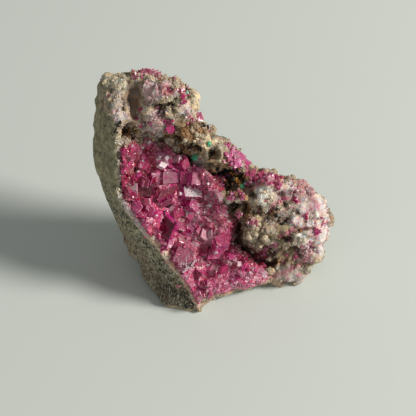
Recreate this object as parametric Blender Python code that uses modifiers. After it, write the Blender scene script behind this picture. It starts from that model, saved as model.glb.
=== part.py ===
"""Cobaltocalcite on its host rock: a hand specimen that stands on a broken base, its crystal face leaning back.

The rock is laid out lying down, in face coordinates in millimetres: u runs across the crystal face, v up it,
and a depth is measured down into the rock from the plane of the face. It is then tipped up to stand.
"""

import math
import random
from dataclasses import dataclass

import bmesh
import bpy
from mathutils import Matrix, Vector, noise
from mathutils.bvhtree import BVHTree

MM = 0.001

# How the specimen stands, and how its crystal face is set in it.
FACE_TILT = math.radians(42)  # the face coordinates are tipped up by this about the u axis
BASE_DROP = 18.8  # from the face coordinates' origin down to the ground, mm
FACE_FALL = -0.30  # the face's plane falls away to the right
FACE_RISE = 0.36  # and its top stands forward

# The rock's form, at stations clockwise round it from its top left corner. Each has three points (u, v, depth)
# in mm: the brow of the crystal face, the rock's widest edge, and the edge of its back.
STATIONS = (
    ((-17.7, 21.3, 0.0), (-19.6, 24.2, 5.0), (-18.7, 20.2, 9.0)),
    ((-14.7, 21.0, -0.5), (-15.5, 25.2, 5.5), (-15.4, 21.1, 10.0)),
    ((-10.9, 21.3, -1.5), (-11.3, 25.5, 5.0), (-11.7, 21.4, 10.5)),
    ((-7.3, 20.1, -2.5), (-6.3, 23.7, 4.0), (-8.2, 20.5, 10.0)),
    ((-4.0, 18.9, -3.0), (-1.7, 20.2, 3.5), (-5.3, 18.3, 9.0)),
    ((-4.2, 17.1, -3.0), (-2.4, 18.3, 3.5), (-5.4, 16.4, 9.0)),
    ((-2.2, 14.7, -3.0), (-0.8, 15.8, 3.5), (-3.8, 14.0, 9.5)),
    ((0.7, 11.3, -2.0), (2.5, 13.2, 3.5), (-1.6, 10.9, 11.0)),
    ((4.1, 9.0, -2.5), (6.1, 10.0, 3.5), (1.4, 7.5, 12.0)),
    ((6.6, 6.4, -2.0), (7.5, 7.9, 4.0), (4.8, 4.4, 13.0)),
    ((10.2, 5.1, -3.0), (11.4, 7.1, 3.5), (9.4, 2.6, 13.0)),
    ((14.8, 3.4, -4.0), (16.3, 5.7, 3.0), (13.5, 1.6, 12.0)),
    ((18.5, 1.1, -4.0), (21.5, 2.9, 2.5), (17.6, -0.8, 11.0)),
    ((20.6, -1.5, -3.5), (24.5, -1.2, 2.5), (19.9, -2.8, 11.0)),
    ((20.4, -5.2, -2.5), (23.5, -6.4, 3.0), (19.8, -5.7, 11.0)),
    ((18.8, -8.6, -1.0), (22.1, -10.8, 2.5), (18.3, -8.6, 10.0)),
    ((16.1, -11.8, 0.0), (18.3, -14.1, 1.0), (16.7, -11.0, 9.0)),
    ((14.2, -13.4, 0.2), (15.4, -15.2, 0.6), (14.2, -12.2, 9.0)),
    ((10.6, -14.1, 0.3), (10.6, -15.1, 1.0), (10.2, -11.8, 11.0)),
    ((4.3, -15.4, 0.3), (4.3, -16.7, 1.0), (5.5, -11.1, 15.0)),
    ((-1.6, -18.3, 0.2), (-1.4, -19.1, 0.8), (-0.6, -9.7, 19.0)),
    ((-2.9, -18.6, 0.0), (-4.7, -20.5, 1.5), (-6.8, -8.7, 21.0)),
    ((-4.6, -15.8, 0.0), (-9.4, -18.6, 3.5), (-11.9, -6.5, 21.0)),
    ((-8.0, -9.0, 0.0), (-13.0, -12.3, 9.0), (-14.7, -2.8, 19.0)),
    ((-12.2, -3.8, 0.0), (-17.0, -5.3, 11.0), (-16.4, 2.6, 17.0)),
    ((-16.4, 1.9, 0.0), (-19.9, 1.9, 11.0), (-18.2, 7.4, 16.0)),
    ((-16.6, 7.9, 0.0), (-21.5, 8.2, 10.0), (-19.3, 13.1, 14.5)),
    ((-17.0, 14.2, 0.0), (-21.6, 15.7, 8.0), (-19.7, 17.7, 12.0)),
)

# Lumps that stand out of the rock: (u, v, depth of centre, radius across, radius up, radius out), in mm.
LUMPS = (
    (-10.3, 21.0, -1.0, 2.6, 2.6, 2.0), (-7.3, 21.2, -2.0, 2.4, 2.2, 2.0), (-4.7, 19.5, -2.5, 2.5, 2.5, 2.2),
    (-6.1, 17.2, -2.6, 2.5, 2.3, 2.2), (-8.8, 17.3, -1.6, 2.4, 2.6, 2.0), (-16.3, 18.9, -0.2, 1.8, 4.4, 1.4),
    (-15.7, 16.2, -0.3, 1.8, 1.7, 1.4), (-4.1, 13.2, -2.4, 2.4, 2.1, 2.5), (-1.8, 13.2, -2.4, 1.9, 1.7, 2.0),
    (-1.5, 11.5, -1.6, 1.8, 1.6, 1.8), (-10.3, 14.7, -0.6, 2.4, 1.8, 1.6), (1.1, 10.1, -1.6, 2.1, 2.1, 1.9),
    (15.8, -1.2, -2.2, 6.6, 6.0, 3.2), (11.0, 1.7, -2.8, 2.3, 2.0, 2.2), (8.1, -5.2, -1.0, 1.7, 1.7, 2.4),
    (10.4, -5.8, -1.6, 1.8, 1.5, 2.4), (9.0, -3.3, -1.8, 1.8, 1.6, 2.2), (11.5, -3.8, -2.6, 2.0, 1.8, 2.2),
    (13.6, -3.4, -3.6, 2.2, 2.0, 1.8), (17.9, -4.0, -3.4, 2.4, 2.6, 2.0), (20.7, -2.7, -2.4, 2.4, 4.0, 2.0),
    (7.8, 2.3, -1.2, 2.3, 1.8, 2.2), (11.8, 4.4, -2.6, 3.2, 1.6, 2.0), (16.8, 2.9, -3.4, 3.2, 1.9, 2.0),
    (16.6, -11.8, 0.4, 3.6, 2.4, 2.4), (20.2, -8.2, -0.8, 2.4, 3.0, 2.4), (4.5, 7.9, -2.0, 2.4, 1.8, 2.2),
)

# Hollows in it, in the same form: the four that make the crystal hollow, then grooves, crevices and pits.
HOLLOWS = (
    (-7.4, 3.3, -3.2, 9.6, 11.5, 5.2), (-1.9, -5.3, -3.2, 8.4, 10.0, 5.0), (3.5, -11.5, -2.8, 7.6, 5.4, 4.2),
    (-9.2, 9.6, -2.4, 7.8, 5.0, 3.8), (3.8, 5.6, -1.6, 3.5, 2.6, 4.8), (5.2, -4.6, -0.6, 1.9, 3.6, 3.4),
    (4.4, -0.8, -0.8, 1.8, 2.6, 3.0), (8.2, -8.9, 0.0, 2.2, 2.0, 2.8), (11.1, -10.7, 0.2, 2.4, 1.7, 2.6),
    (-5.2, 12.4, -1.2, 1.9, 1.5, 3.2), (-14.8, 14.1, -0.2, 1.9, 1.9, 2.4), (-13.0, 19.2, -1.2, 1.7, 3.9, 3.0),
    (15.9, -8.3, -2.2, 2.9, 2.1, 3.2), (1.1, 10.0, -3.6, 1.1, 1.1, 1.9), (-8.5, 19.4, -2.2, 1.1, 1.6, 1.8),
)

VOXEL = 0.5  # the form, lumps and hollows are made one skin at this grain, mm
ROUGHNESS = ((6.0, 0.9), (2.6, 0.45), (1.4, 0.2))  # the broken surface: (size of a bump, its height), mm
SIDE_ROUGHNESS = 0.6  # the share of that roughness on the flank and the back, which broke more cleanly
LIFT = 0.25  # the whole skin is lifted by this, mm
ROCK_SHARE = 0.082  # the share of the fine skin's triangles that the rock keeps

# The crystal crust that lines the hollow: the edge of the ground that it covers, (u, v) in mm.
CRUST_EDGE = (
    (-16.2, 12.5), (-14.7, 13.2), (-12.2, 13.1), (-9.6, 12.8), (-7.1, 11.5), (-5.0, 9.8), (-3.0, 8.0),
    (-0.6, 7.4), (1.1, 6.1), (2.3, 3.4), (3.4, 0.4), (4.6, -3.5), (6.2, -7.0), (8.6, -10.6), (11.4, -13.0),
    (10.9, -14.8), (9.2, -15.1), (4.7, -15.9), (0.8, -17.2), (-2.3, -18.5), (-3.9, -16.3), (-5.8, -12.3),
    (-8.0, -8.0), (-11.0, -4.9), (-13.9, -1.1), (-16.1, 1.9), (-16.5, 5.2), (-16.4, 8.9),
)
CRUST_THICKNESS = 0.9  # of the bed that the crystals stand on, mm
CRUST_VOXEL = 0.16  # the crust's crystals are made one skin at this grain, mm
CRUST_SHARE = 0.026  # the share of that skin's triangles that the crust keeps
GAP = 0.3  # between a crystal group and the rock that it grew on, mm

# A calcite rhomb is a cube pressed flat along its body diagonal.
RHOMB_FLATNESS = 0.70

# The large crystals in the crust: (u, v, edge) in mm, then how each is turned and leans, in degrees.
LARGE_CRYSTALS = (
    (-6.9, 5.6, 3.4, 10, 50), (-3.4, 6.0, 3.1, 5, 40), (-2.8, 3.0, 3.2, 100, 20), (-11.4, 3.4, 3.0, 30, 60),
    (-7.9, 2.6, 3.3, 15, 35), (-9.1, 0.6, 2.6, 70, 58), (-7.8, -3.6, 4.2, 35, 70), (-11.3, -1.3, 2.4, 10, 30),
    (-5.0, -9.2, 4.2, 20, 15), (2.7, -6.2, 3.0, 60, 66), (1.7, -9.1, 3.2, 5, 40), (-2.1, 0.0, 2.6, 44, 60),
    (-8.8, 8.2, 2.6, 80, 25), (-13.0, 6.7, 2.4, 50, 30), (-5.6, 9.0, 2.4, 25, 66), (-0.6, 1.5, 2.2, 110, 48),
    (-1.0, -15.6, 2.3, 15, 35), (-12.6, 10.7, 2.2, 75, 44), (-15.1, 10.3, 2.0, 35, 22),
    (-4.2, -5.7, 2.4, 85, 36), (-14.9, 4.1, 2.2, 5, 52), (6.3, -12.5, 2.1, 40, 30), (-5.4, -14.3, 2.0, 65, 48),
    (-9.8, 10.8, 2.0, 20, 35), (0.0, -12.4, 2.2, 33, 55), (-11.0, -4.5, 2.0, 60, 40), (3.5, -14.3, 1.9, 12, 35),
    (0.8, -2.7, 2.2, 70, 28), (-1.5, -2.7, 2.0, 15, 50),
)
SMALL_CRYSTALS = 64
SMALL_EDGE = (1.1, 1.8)  # their shortest and longest edge, mm
SMALL_SPACING = 1.4  # from one to the next, mm
BED_SLOPE = 0.15  # the crust ends where the rock's face turns away further than this

# Crystal groups elsewhere on the rock, each grown together: (u, v, edge, turn, lean).
RIM_GROUP = (
    (3.4, 11.5, 1.7, 20, 40), (4.5, 10.6, 2.2, 60, 55), (5.6, 9.6, 2.5, 10, 48), (6.8, 8.5, 2.6, 35, 60),
    (5.2, 8.4, 2.0, 80, 30), (3.9, 9.5, 1.7, 15, 50),
)
CREST_GROUP = ((-12.2, 24.7, 1.8, 10, 40), (-10.8, 24.9, 2.0, 50, 60), (-9.3, 24.6, 1.9, 25, 35),
               (-13.5, 24.4, 1.6, 70, 50))
PALE_GROUP = ((-11.0, 21.6, 2.8, 15, 30), (-9.4, 20.9, 2.6, 60, 50), (-10.5, 19.7, 2.4, 35, 20))
LOBE_GROUP = ((8.3, 6.6, 1.8, 30, 45), (9.8, 6.0, 2.1, 70, 35), (11.5, 5.7, 2.0, 10, 55), (13.1, 5.1, 1.7, 50, 30))

# Crystals that stand alone, and grains of malachite: (u, v, radius) in mm.
SINGLE_CRYSTALS = ((-4.5, 20.2, 1.5, 25, 40), (-1.7, 16.5, 1.5, 60, 30), (-6.9, 14.6, 1.8, 10, 55),
                   (12.9, -7.1, 1.5, 45, 35))
MALACHITE = ((0.2, 12.0, 0.75), (-2.3, 10.3, 0.9), (-3.8, 21.1, 0.65), (6.4, 4.2, 0.7))

SEED = 7


@dataclass
class Site:
    """The rock that crystals grow on, and where what is made there goes."""

    rock: bpy.types.Object
    tree: BVHTree
    ground: bpy.types.Object
    specimen: bpy.types.Collection
    helpers: bpy.types.Collection


def clear_scene():
    for obj in list(bpy.data.objects):
        bpy.data.objects.remove(obj)


def new_collection(name):
    group = bpy.data.collections.new(name)
    bpy.context.scene.collection.children.link(group)
    return group


def face_height(u, v):
    """How far the face's plane stands above the face coordinates' origin, mm."""
    return FACE_FALL * u + FACE_RISE * v


def on_face(u, v, depth):
    """A point given in face coordinates, in metres, still lying down."""
    return Vector((u, v, face_height(u, v) - depth)) * MM


def add_object(name, mesh, group, material=None):
    obj = bpy.data.objects.new(name, mesh)
    group.objects.link(obj)
    if material:
        mesh.materials.clear()
        mesh.materials.append(material)
    return obj


def object_from(name, bm, group):
    mesh = bpy.data.meshes.new(name)
    bm.to_mesh(mesh)
    bm.free()
    return add_object(name, mesh, group)


def evaluated_mesh(obj):
    """The object's mesh with its modifiers applied."""
    bpy.context.view_layer.update()
    graph = bpy.context.evaluated_depsgraph_get()
    return bpy.data.meshes.new_from_object(obj.evaluated_get(graph))


def make_material(name, colour, roughness, transmission=0.0):
    material = bpy.data.materials.new(name)
    material.use_nodes = True
    shader = material.node_tree.nodes["Principled BSDF"]
    shader.inputs["Base Color"].default_value = (*colour, 1.0)
    shader.inputs["Roughness"].default_value = roughness
    shader.inputs["Metallic"].default_value = 0.0
    shader.inputs["Transmission Weight"].default_value = transmission
    return material


def add_boolean(obj, operation, other):
    modifier = obj.modifiers.new(operation.lower(), "BOOLEAN")
    modifier.operation = operation
    modifier.use_self = True
    modifier.object = other


def add_skin(obj, voxel):
    modifier = obj.modifiers.new("skin", "REMESH")
    modifier.mode = "VOXEL"
    modifier.voxel_size = voxel * MM


def add_thinning(obj, share):
    modifier = obj.modifiers.new("thin", "DECIMATE")
    modifier.ratio = share
    modifier.use_collapse_triangulate = True


# --- the host rock


def rock_form(helpers):
    """The rock's plain form: skins between its brow, its widest edge and its back, closed at both ends."""
    bm = bmesh.new()
    rings = []
    for level in range(len(STATIONS[0])):
        verts = [bm.verts.new(on_face(*station[level])) for station in STATIONS]
        rings.append([bm.edges.new(pair) for pair in zip(verts, verts[1:] + verts[:1])])
    for upper, lower in zip(rings, rings[1:]):
        bmesh.ops.bridge_loops(bm, edges=upper + lower)
    for end in (rings[0], rings[-1]):
        bmesh.ops.contextual_create(bm, geom=end)
    bmesh.ops.triangulate(bm, faces=bm.faces[:], ngon_method="BEAUTY")
    bmesh.ops.recalc_face_normals(bm, faces=bm.faces[:])
    return object_from("rock_form", bm, helpers)


def ellipsoids(name, rows, helpers):
    """Ellipsoids as one object, each one closed."""
    bm = bmesh.new()
    for u, v, depth, across, up, out in rows:
        place = Matrix.Translation(on_face(u, v, depth))
        radii = Matrix.Diagonal((across * MM, up * MM, out * MM, 1))
        bmesh.ops.create_icosphere(bm, subdivisions=3, radius=1.0, matrix=place @ radii)
    return object_from(name, bm, helpers)


def roughen(mesh):
    """Breaks up the skin with fractured noise of several sizes, and lifts it by what the remeshing wore away."""
    bm = bmesh.new()
    bm.from_mesh(mesh)
    bm.normal_update()
    pushes = []
    for vert in bm.verts:
        push = 0.0
        for size, height in ROUGHNESS:
            push += height * noise.noise(vert.co / (size * MM), noise_basis="VORONOI_F2F1")
        pushes.append(push)
    level = sum(pushes) / len(pushes)
    moves = []
    for vert, push in zip(bm.verts, pushes):
        share = SIDE_ROUGHNESS + (1 - SIDE_ROUGHNESS) * max(vert.normal.z, 0.0)
        moves.append(vert.normal * ((push - level) * share + LIFT) * MM)
    for vert, move in zip(bm.verts, moves):
        vert.co += move
    bm.to_mesh(mesh)
    bm.free()


def cut_base(mesh):
    """Cuts the rock off flat on the ground, so that it has a true face to stand on."""
    up = Vector((0, math.sin(FACE_TILT), math.cos(FACE_TILT)))
    bm = bmesh.new()
    bm.from_mesh(mesh)
    whole = bm.verts[:] + bm.edges[:] + bm.faces[:]
    ground = up * -BASE_DROP * MM
    cut = bmesh.ops.bisect_plane(bm, geom=whole, dist=0, plane_co=ground, plane_no=-up, clear_outer=True)
    rim = [edge for edge in cut["geom_cut"] if isinstance(edge, bmesh.types.BMEdge)]
    bmesh.ops.contextual_create(bm, geom=rim)
    bmesh.ops.triangulate(bm, faces=[face for face in bm.faces if len(face.verts) > 3])
    bm.to_mesh(mesh)
    bm.free()


def make_rock(specimen, helpers, material):
    form = rock_form(helpers)
    add_boolean(form, "UNION", ellipsoids("lumps", LUMPS, helpers))
    add_boolean(form, "DIFFERENCE", ellipsoids("hollows", HOLLOWS, helpers))
    add_skin(form, VOXEL)
    form.modifiers.new("soften", "SMOOTH").factor = 0.5
    mesh = evaluated_mesh(form)
    roughen(mesh)
    rough = add_object("rough_rock", mesh, helpers)
    add_thinning(rough, ROCK_SHARE)
    mesh = evaluated_mesh(rough)
    cut_base(mesh)
    return add_object("host_rock", mesh, specimen, material)


# --- crystals


def surface_under(tree, u, v):
    """The point of the rock's face straight under (u, v), or next to it, and the way that the rock looks there."""
    high = -20.0
    point, normal, _, _ = tree.ray_cast(on_face(u, v, high), Vector((0, 0, -1)))
    if point is None:
        point, normal, _, _ = tree.find_nearest(on_face(u, v, 0.0))
    return point, normal


def rhomb_matrix(tree, u, v, edge, turn, lean, raised=0.0):
    """A crystal's place, size and pose: on the rock, standing midway between its surface's way and the face's."""
    point, normal = surface_under(tree, u, v)
    outward = (normal + Vector((0, 0, 1))).normalized()
    stand = outward.to_track_quat("Z", "Y").to_matrix().to_4x4()
    pose = Matrix.Rotation(math.radians(turn), 4, "Z") @ Matrix.Rotation(math.radians(lean), 4, "X")
    place = Matrix.Translation(point + outward * raised * edge * MM)
    return place @ stand @ pose @ Matrix.Scale(edge * MM, 4)


def add_rhomb(bm, matrix):
    diagonal = Vector((1, 1, 1)).rotation_difference(Vector((0, 0, 1))).to_matrix().to_4x4()
    flatten = Matrix.Diagonal((1, 1, RHOMB_FLATNESS, 1))
    bmesh.ops.create_cube(bm, size=1.0, matrix=matrix @ flatten @ diagonal)


def swollen(rock, by, helpers):
    """The rock grown outwards all over: what crystals are cut back to."""
    bm = bmesh.new()
    bm.from_mesh(rock.data)
    bm.normal_update()
    for vert in bm.verts:
        vert.co += vert.normal * vert.calc_shell_factor() * by * MM
    return object_from("swollen_rock", bm, helpers)


def body_of(start, seen):
    """The faces joined to one by sound edges; they are added to those seen."""
    body, queue = [], [start]
    seen.add(start)
    while queue:
        face = queue.pop()
        body.append(face)
        for edge in face.edges:
            for other in edge.link_faces:
                if edge.is_manifold and other not in seen:
                    seen.add(other)
                    queue.append(other)
    return body


def keep_largest(mesh):
    """Drops the chips that a cut leaves loose and the bubbles that a union closes in."""
    bm = bmesh.new()
    bm.from_mesh(mesh)
    bmesh.ops.triangulate(bm, faces=bm.faces[:])
    seen = set()
    bodies = [body_of(face, seen) for face in bm.faces if face not in seen]
    bodies.sort(key=lambda faces: sum(face.calc_area() for face in faces))
    bmesh.ops.delete(bm, geom=[face for body in bodies[:-1] for face in body], context="FACES")
    bm.to_mesh(mesh)
    bm.free()


def grown_solid(name, target, site, material):
    """One closed solid of what grew at a place, cut back to just clear of the rock."""
    add_boolean(target, "DIFFERENCE", site.ground)
    mesh = evaluated_mesh(target)
    keep_largest(mesh)
    return add_object(name, mesh, site.specimen, material)


def inside(edge, u, v):
    """True if (u, v) lies inside the closed outline."""
    crossings = False
    for (u0, v0), (u1, v1) in zip(edge, edge[1:] + edge[:1]):
        if (v0 > v) != (v1 > v) and u < u0 + (v - v0) * (u1 - u0) / (v1 - v0):
            crossings = not crossings
    return crossings


def crust_bed(site):
    """The thin bed of the crust: the rock's own surface in the hollow, given a thickness."""
    bm = bmesh.new()
    bm.from_mesh(site.rock.data)
    bm.normal_update()
    away = []
    for face in bm.faces:
        centre = face.calc_center_median() / MM
        if face.normal.z < BED_SLOPE or not inside(CRUST_EDGE, centre.x, centre.y):
            away.append(face)
    bmesh.ops.delete(bm, geom=away, context="FACES")
    bed = object_from("bed", bm, site.helpers)
    wall = bed.modifiers.new("wall", "SOLIDIFY")
    wall.thickness = (GAP + CRUST_THICKNESS) * MM
    wall.offset = 1.0
    return bed


def small_crystals():
    """Crystals scattered over the crust, kept apart from each other."""
    rng = random.Random(SEED)
    across, up = zip(*CRUST_EDGE)
    placed = []
    while len(placed) < SMALL_CRYSTALS:
        u, v = rng.uniform(min(across), max(across)), rng.uniform(min(up), max(up))
        crowded = any(math.hypot(u - other[0], v - other[1]) < SMALL_SPACING for other in placed)
        if inside(CRUST_EDGE, u, v) and not crowded:
            placed.append((u, v, rng.uniform(*SMALL_EDGE), rng.uniform(0, 120), rng.uniform(0, 70)))
    return placed


def make_crust(site, material):
    """The crust: a bed with its crystals, made one sound skin even where crystals only just touch."""
    bm = bmesh.new()
    for row in LARGE_CRYSTALS:
        add_rhomb(bm, rhomb_matrix(site.tree, *row))
    for row in small_crystals():
        add_rhomb(bm, rhomb_matrix(site.tree, *row, raised=0.25))
    bed = crust_bed(site)
    add_boolean(bed, "UNION", object_from("crust_rhombs", bm, site.helpers))
    crust = grown_solid("crystal_crust", bed, site, material)
    add_skin(crust, CRUST_VOXEL)
    add_thinning(crust, CRUST_SHARE)
    mesh = evaluated_mesh(crust)
    crust.modifiers.clear()
    keep_largest(mesh)
    crust.data = mesh
    return crust


def make_group(name, rows, site, material):
    """Crystals that grew into each other, as one solid."""
    bm = bmesh.new()
    for row in rows:
        add_rhomb(bm, rhomb_matrix(site.tree, *row))
    return grown_solid(name, object_from(name + "_rhombs", bm, site.helpers), site, material)


def make_grain(name, u, v, radius, site, material):
    """A grain of malachite: a small lump, half sunk in the rock."""
    point, _ = surface_under(site.tree, u, v)
    bm = bmesh.new()
    bmesh.ops.create_icosphere(bm, subdivisions=2, radius=radius * MM, matrix=Matrix.Translation(point))
    return grown_solid(name, object_from(name + "_lump", bm, site.helpers), site, material)


def stand_up(parts):
    """Tips the specimen up, sets it on the ground and centres it over the origin."""
    tip = Matrix.Translation((0, 0, BASE_DROP * MM)) @ Matrix.Rotation(FACE_TILT, 4, "X")
    for part in parts:
        part.data.transform(tip)
    corners = [vert.co for part in parts for vert in part.data.vertices]
    across, along = [corner.x for corner in corners], [corner.y for corner in corners]
    middle = Vector((min(across) + max(across), min(along) + max(along), 0)) / 2
    for part in parts:
        part.data.transform(Matrix.Translation(-middle))
    print("centred by (mm)", [round(value / MM, 3) for value in middle])


def main():
    clear_scene()
    specimen = new_collection("cobaltocalcite")
    helpers = new_collection("cutters")
    stone = make_material("host_rock", (0.33, 0.28, 0.21), 0.9)
    pink = make_material("cobalt_calcite", (0.68, 0.06, 0.28), 0.15, 0.3)
    pale = make_material("pale_calcite", (0.70, 0.48, 0.48), 0.25, 0.3)
    green = make_material("malachite", (0.03, 0.38, 0.19), 0.5)

    rock = make_rock(specimen, helpers, stone)
    tree = BVHTree.FromObject(rock, bpy.context.evaluated_depsgraph_get())
    site = Site(rock, tree, swollen(rock, GAP, helpers), specimen, helpers)
    parts = [rock, make_crust(site, pink)]
    parts.append(make_group("rim_crystals", RIM_GROUP, site, pink))
    parts.append(make_group("crest_crystals", CREST_GROUP, site, pink))
    parts.append(make_group("pale_crystals", PALE_GROUP, site, pale))
    parts.append(make_group("lobe_crystals", LOBE_GROUP, site, pink))
    for number, row in enumerate(SINGLE_CRYSTALS, 1):
        parts.append(make_group(f"single_crystal_{number}", (row,), site, pink))
    for number, row in enumerate(MALACHITE, 1):
        parts.append(make_grain(f"malachite_grain_{number}", *row, site, green))
    stand_up(parts)

    for helper in helpers.objects:
        helper.hide_render = True
        helper.display_type = "WIRE"
    for part in parts:
        part.data.name = part.name
        part.data.shade_flat()
        print(part.name, len(part.data.polygons), "faces")


main()
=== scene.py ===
# Cobaltocalcite on its host rock: a standing hand specimen with a hollow full of pink rhombs.

import math

import bmesh
import bpy
import numpy as np
from mathutils import Matrix, Vector, noise
from mathutils.bvhtree import BVHTree


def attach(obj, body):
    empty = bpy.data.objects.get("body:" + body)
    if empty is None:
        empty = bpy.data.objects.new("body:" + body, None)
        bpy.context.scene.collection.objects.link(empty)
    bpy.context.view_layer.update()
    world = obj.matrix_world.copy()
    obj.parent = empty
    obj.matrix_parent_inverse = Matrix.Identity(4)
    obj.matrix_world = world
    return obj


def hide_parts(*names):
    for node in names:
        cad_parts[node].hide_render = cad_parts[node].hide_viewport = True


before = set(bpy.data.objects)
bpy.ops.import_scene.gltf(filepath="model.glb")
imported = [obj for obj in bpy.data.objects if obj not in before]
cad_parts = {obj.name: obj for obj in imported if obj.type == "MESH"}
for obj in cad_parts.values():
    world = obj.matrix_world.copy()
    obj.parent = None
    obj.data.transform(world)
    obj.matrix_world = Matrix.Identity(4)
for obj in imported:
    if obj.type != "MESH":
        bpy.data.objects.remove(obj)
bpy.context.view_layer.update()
print("frame loaded:", len(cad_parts), "nodes")

# Everything is laid out in the crystal face's own coordinates, in mm: u across it, v up it, h out of it.
stance = {
    "tilt": math.radians(42),
    "drop": 18.8,  # from the face's origin down to the ground
    "middle": (1.411, 2.706),  # where the specimen's middle lies over the ground
    "mm": 0.001,
}
upright = Matrix.Translation((-stance["middle"][0], -stance["middle"][1], stance["drop"]))
faceToWorld = Matrix.Scale(stance["mm"], 4) @ upright @ Matrix.Rotation(stance["tilt"], 4, "X")
worldToFace = faceToWorld.inverted()
viewDirection = Vector((0, 0, 1))  # the camera looks straight down on the face


def vectorsOf(items, field):
    values = np.empty(len(items) * 3)
    items.foreach_get(field, values)
    return values.reshape(-1, 3)


def vertexPlaces(mesh):
    return vectorsOf(mesh.vertices, "co")


def vertexNormals(mesh):
    return vectorsOf(mesh.vertex_normals, "vector")


def moveVertices(mesh, places):
    mesh.vertices.foreach_set("co", np.ascontiguousarray(places, float).ravel())
    mesh.update()


def addFloats(mesh, name, values, domain="POINT"):
    # one value for every item, or the same for all
    items = mesh.attributes.new(name, "FLOAT", domain).data
    items.foreach_set("value", np.full(len(items), values, float))


def paint(mesh, colour):
    layer = mesh.color_attributes.new("tint", "FLOAT_COLOR", "POINT")
    full = np.c_[np.clip(colour, 0, 1), np.ones(len(colour))]
    layer.data.foreach_set("color", full.ravel())


def meshFrom(name, bm):
    mesh = bpy.data.meshes.new(name)
    bm.to_mesh(mesh)
    bm.free()
    return mesh


def linked(name, data):
    obj = bpy.data.objects.new(name, data)
    bpy.context.scene.collection.objects.link(obj)
    return obj


def finePiece(name, mesh, material, stands=()):
    # stands the mesh up from face coordinates and hands the piece to the frame
    mesh.transform(faceToWorld)
    places = vertexPlaces(mesh)
    places[:, 2] = places[:, 2].clip(0)
    moveVertices(mesh, places)
    mesh.name = name
    mesh.materials.clear()
    mesh.materials.append(material)
    piece = linked(name, mesh)
    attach(piece, "root")
    if stands:
        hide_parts(*stands)
    print(name, len(mesh.polygons), "faces")


def softSkin(nodeName, look):
    # a fine, even skin over a CAD node, in face coordinates
    bm = bmesh.new()
    bm.from_mesh(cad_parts[nodeName].data)
    bmesh.ops.remove_doubles(bm, verts=bm.verts[:], dist=1e-6)
    bm.transform(worldToFace)
    form = linked(nodeName + "Form", meshFrom(nodeName + "Form", bm))
    skin = form.modifiers.new("skin", "REMESH")
    skin.mode = "VOXEL"
    skin.voxel_size = look["voxel"]
    soften = form.modifiers.new("soften", "SMOOTH")
    soften.factor = 0.5
    soften.iterations = look["softenings"]
    bpy.context.view_layer.update()
    result = bpy.data.meshes.new_from_object(form.evaluated_get(bpy.context.evaluated_depsgraph_get()))
    bpy.data.objects.remove(form)
    return result


def noiseField(places, size, basis="PERLIN_ORIGINAL", stretch=(1, 1, 1)):
    scaled = places / (np.array(stretch) * size)
    return np.array([noise.noise(Vector(p), noise_basis=basis) for p in scaled.tolist()])


def treeOf(mesh):
    bm = bmesh.new()
    bm.from_mesh(mesh)
    tree = BVHTree.FromBMesh(bm)
    bm.free()
    return tree


def surfaceUnder(tree, u, v):
    place, normal, _, _ = tree.ray_cast(Vector((u, v, 30)), Vector((0, 0, -1)))
    if place is None:
        place, normal, _, _ = tree.find_nearest(Vector((u, v, 0)))
    return place, normal


def topmost(trees, u, v):
    return max((surfaceUnder(tree, u, v) for tree in trees), key=lambda hit: hit[0].z)


def inside(outline, places):
    # which of the places lie in a closed outline
    u, v = places[:, 0], places[:, 1]
    crossed = np.zeros(len(places), bool)
    for (u0, v0), (u1, v1) in zip(outline, outline[1:] + outline[:1]):
        if v0 != v1:
            crossed ^= ((v0 > v) != (v1 > v)) & (u < u0 + (v - v0) * (u1 - u0) / (v1 - v0))
    return crossed


def nearLine(places, line):
    # how far each place lies from a line of (u, v) points
    u, v = places[:, 0], places[:, 1]
    nearest = np.full(len(u), 1e9)
    for (u0, v0), (u1, v1) in zip(line, line[1:]):
        squaredLength = (u1 - u0) ** 2 + (v1 - v0) ** 2
        along = np.clip(((u - u0) * (u1 - u0) + (v - v0) * (v1 - v0)) / squaredLength, 0, 1)
        nearest = np.minimum(nearest, np.hypot(u - u0 - along * (u1 - u0), v - v0 - along * (v1 - v0)))
    return nearest


def readOff(curve, where):
    # a curve of (place, value) points, read at other places
    return np.interp(where, *zip(*curve))


def lineAt(line, v):
    # where a line of (u, v) points stands at the height v
    return readOff(sorted((pointV, pointU) for pointU, pointV in line), v)


def bell(places, u, v, across, up):
    # one at (u, v), and fading out round it
    return np.exp(-(((places[:, 0] - u) / across) ** 2) - ((places[:, 1] - v) / up) ** 2)


def blend(values, other, weight):
    values += (np.array(other) - values) * weight[:, None]


stoneKinds = {  # linear colour, and how crumbly: the height of its crumbs in mm
    "front": ((0.42, 0.34, 0.24), 0.32),
    "flank": ((0.32, 0.285, 0.175), 0.05),
    "cream": ((0.47, 0.415, 0.30), 0.22),
    "chalk": ((0.80, 0.73, 0.62), 0.24),
    "silk": ((0.70, 0.61, 0.56), 0.09),
    "greyCrumb": ((0.46, 0.39, 0.32), 0.34),
    "tan": ((0.46, 0.37, 0.26), 0.38),
    "ochre": ((0.64, 0.52, 0.35), 0.20),
    "rust": ((0.30, 0.17, 0.085), 0.40),
    "brown": ((0.42, 0.31, 0.23), 0.04),
    "dark": ((0.060, 0.035, 0.024), 0.36),
    "maroon": ((0.20, 0.030, 0.055), 0.25),
    "olive": ((0.36, 0.28, 0.17), 0.14),
    "frost": ((0.57, 0.48, 0.43), 0.18),
    "pinkDust": ((0.56, 0.35, 0.33), 0.20),
    "greyPink": ((0.50, 0.42, 0.37), 0.06),
    "peach": ((0.74, 0.52, 0.37), 0.10),
    "sill": ((0.46, 0.33, 0.24), 0.08),
    "bed": ((0.36, 0.06, 0.11), 0.30),
}
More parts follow.
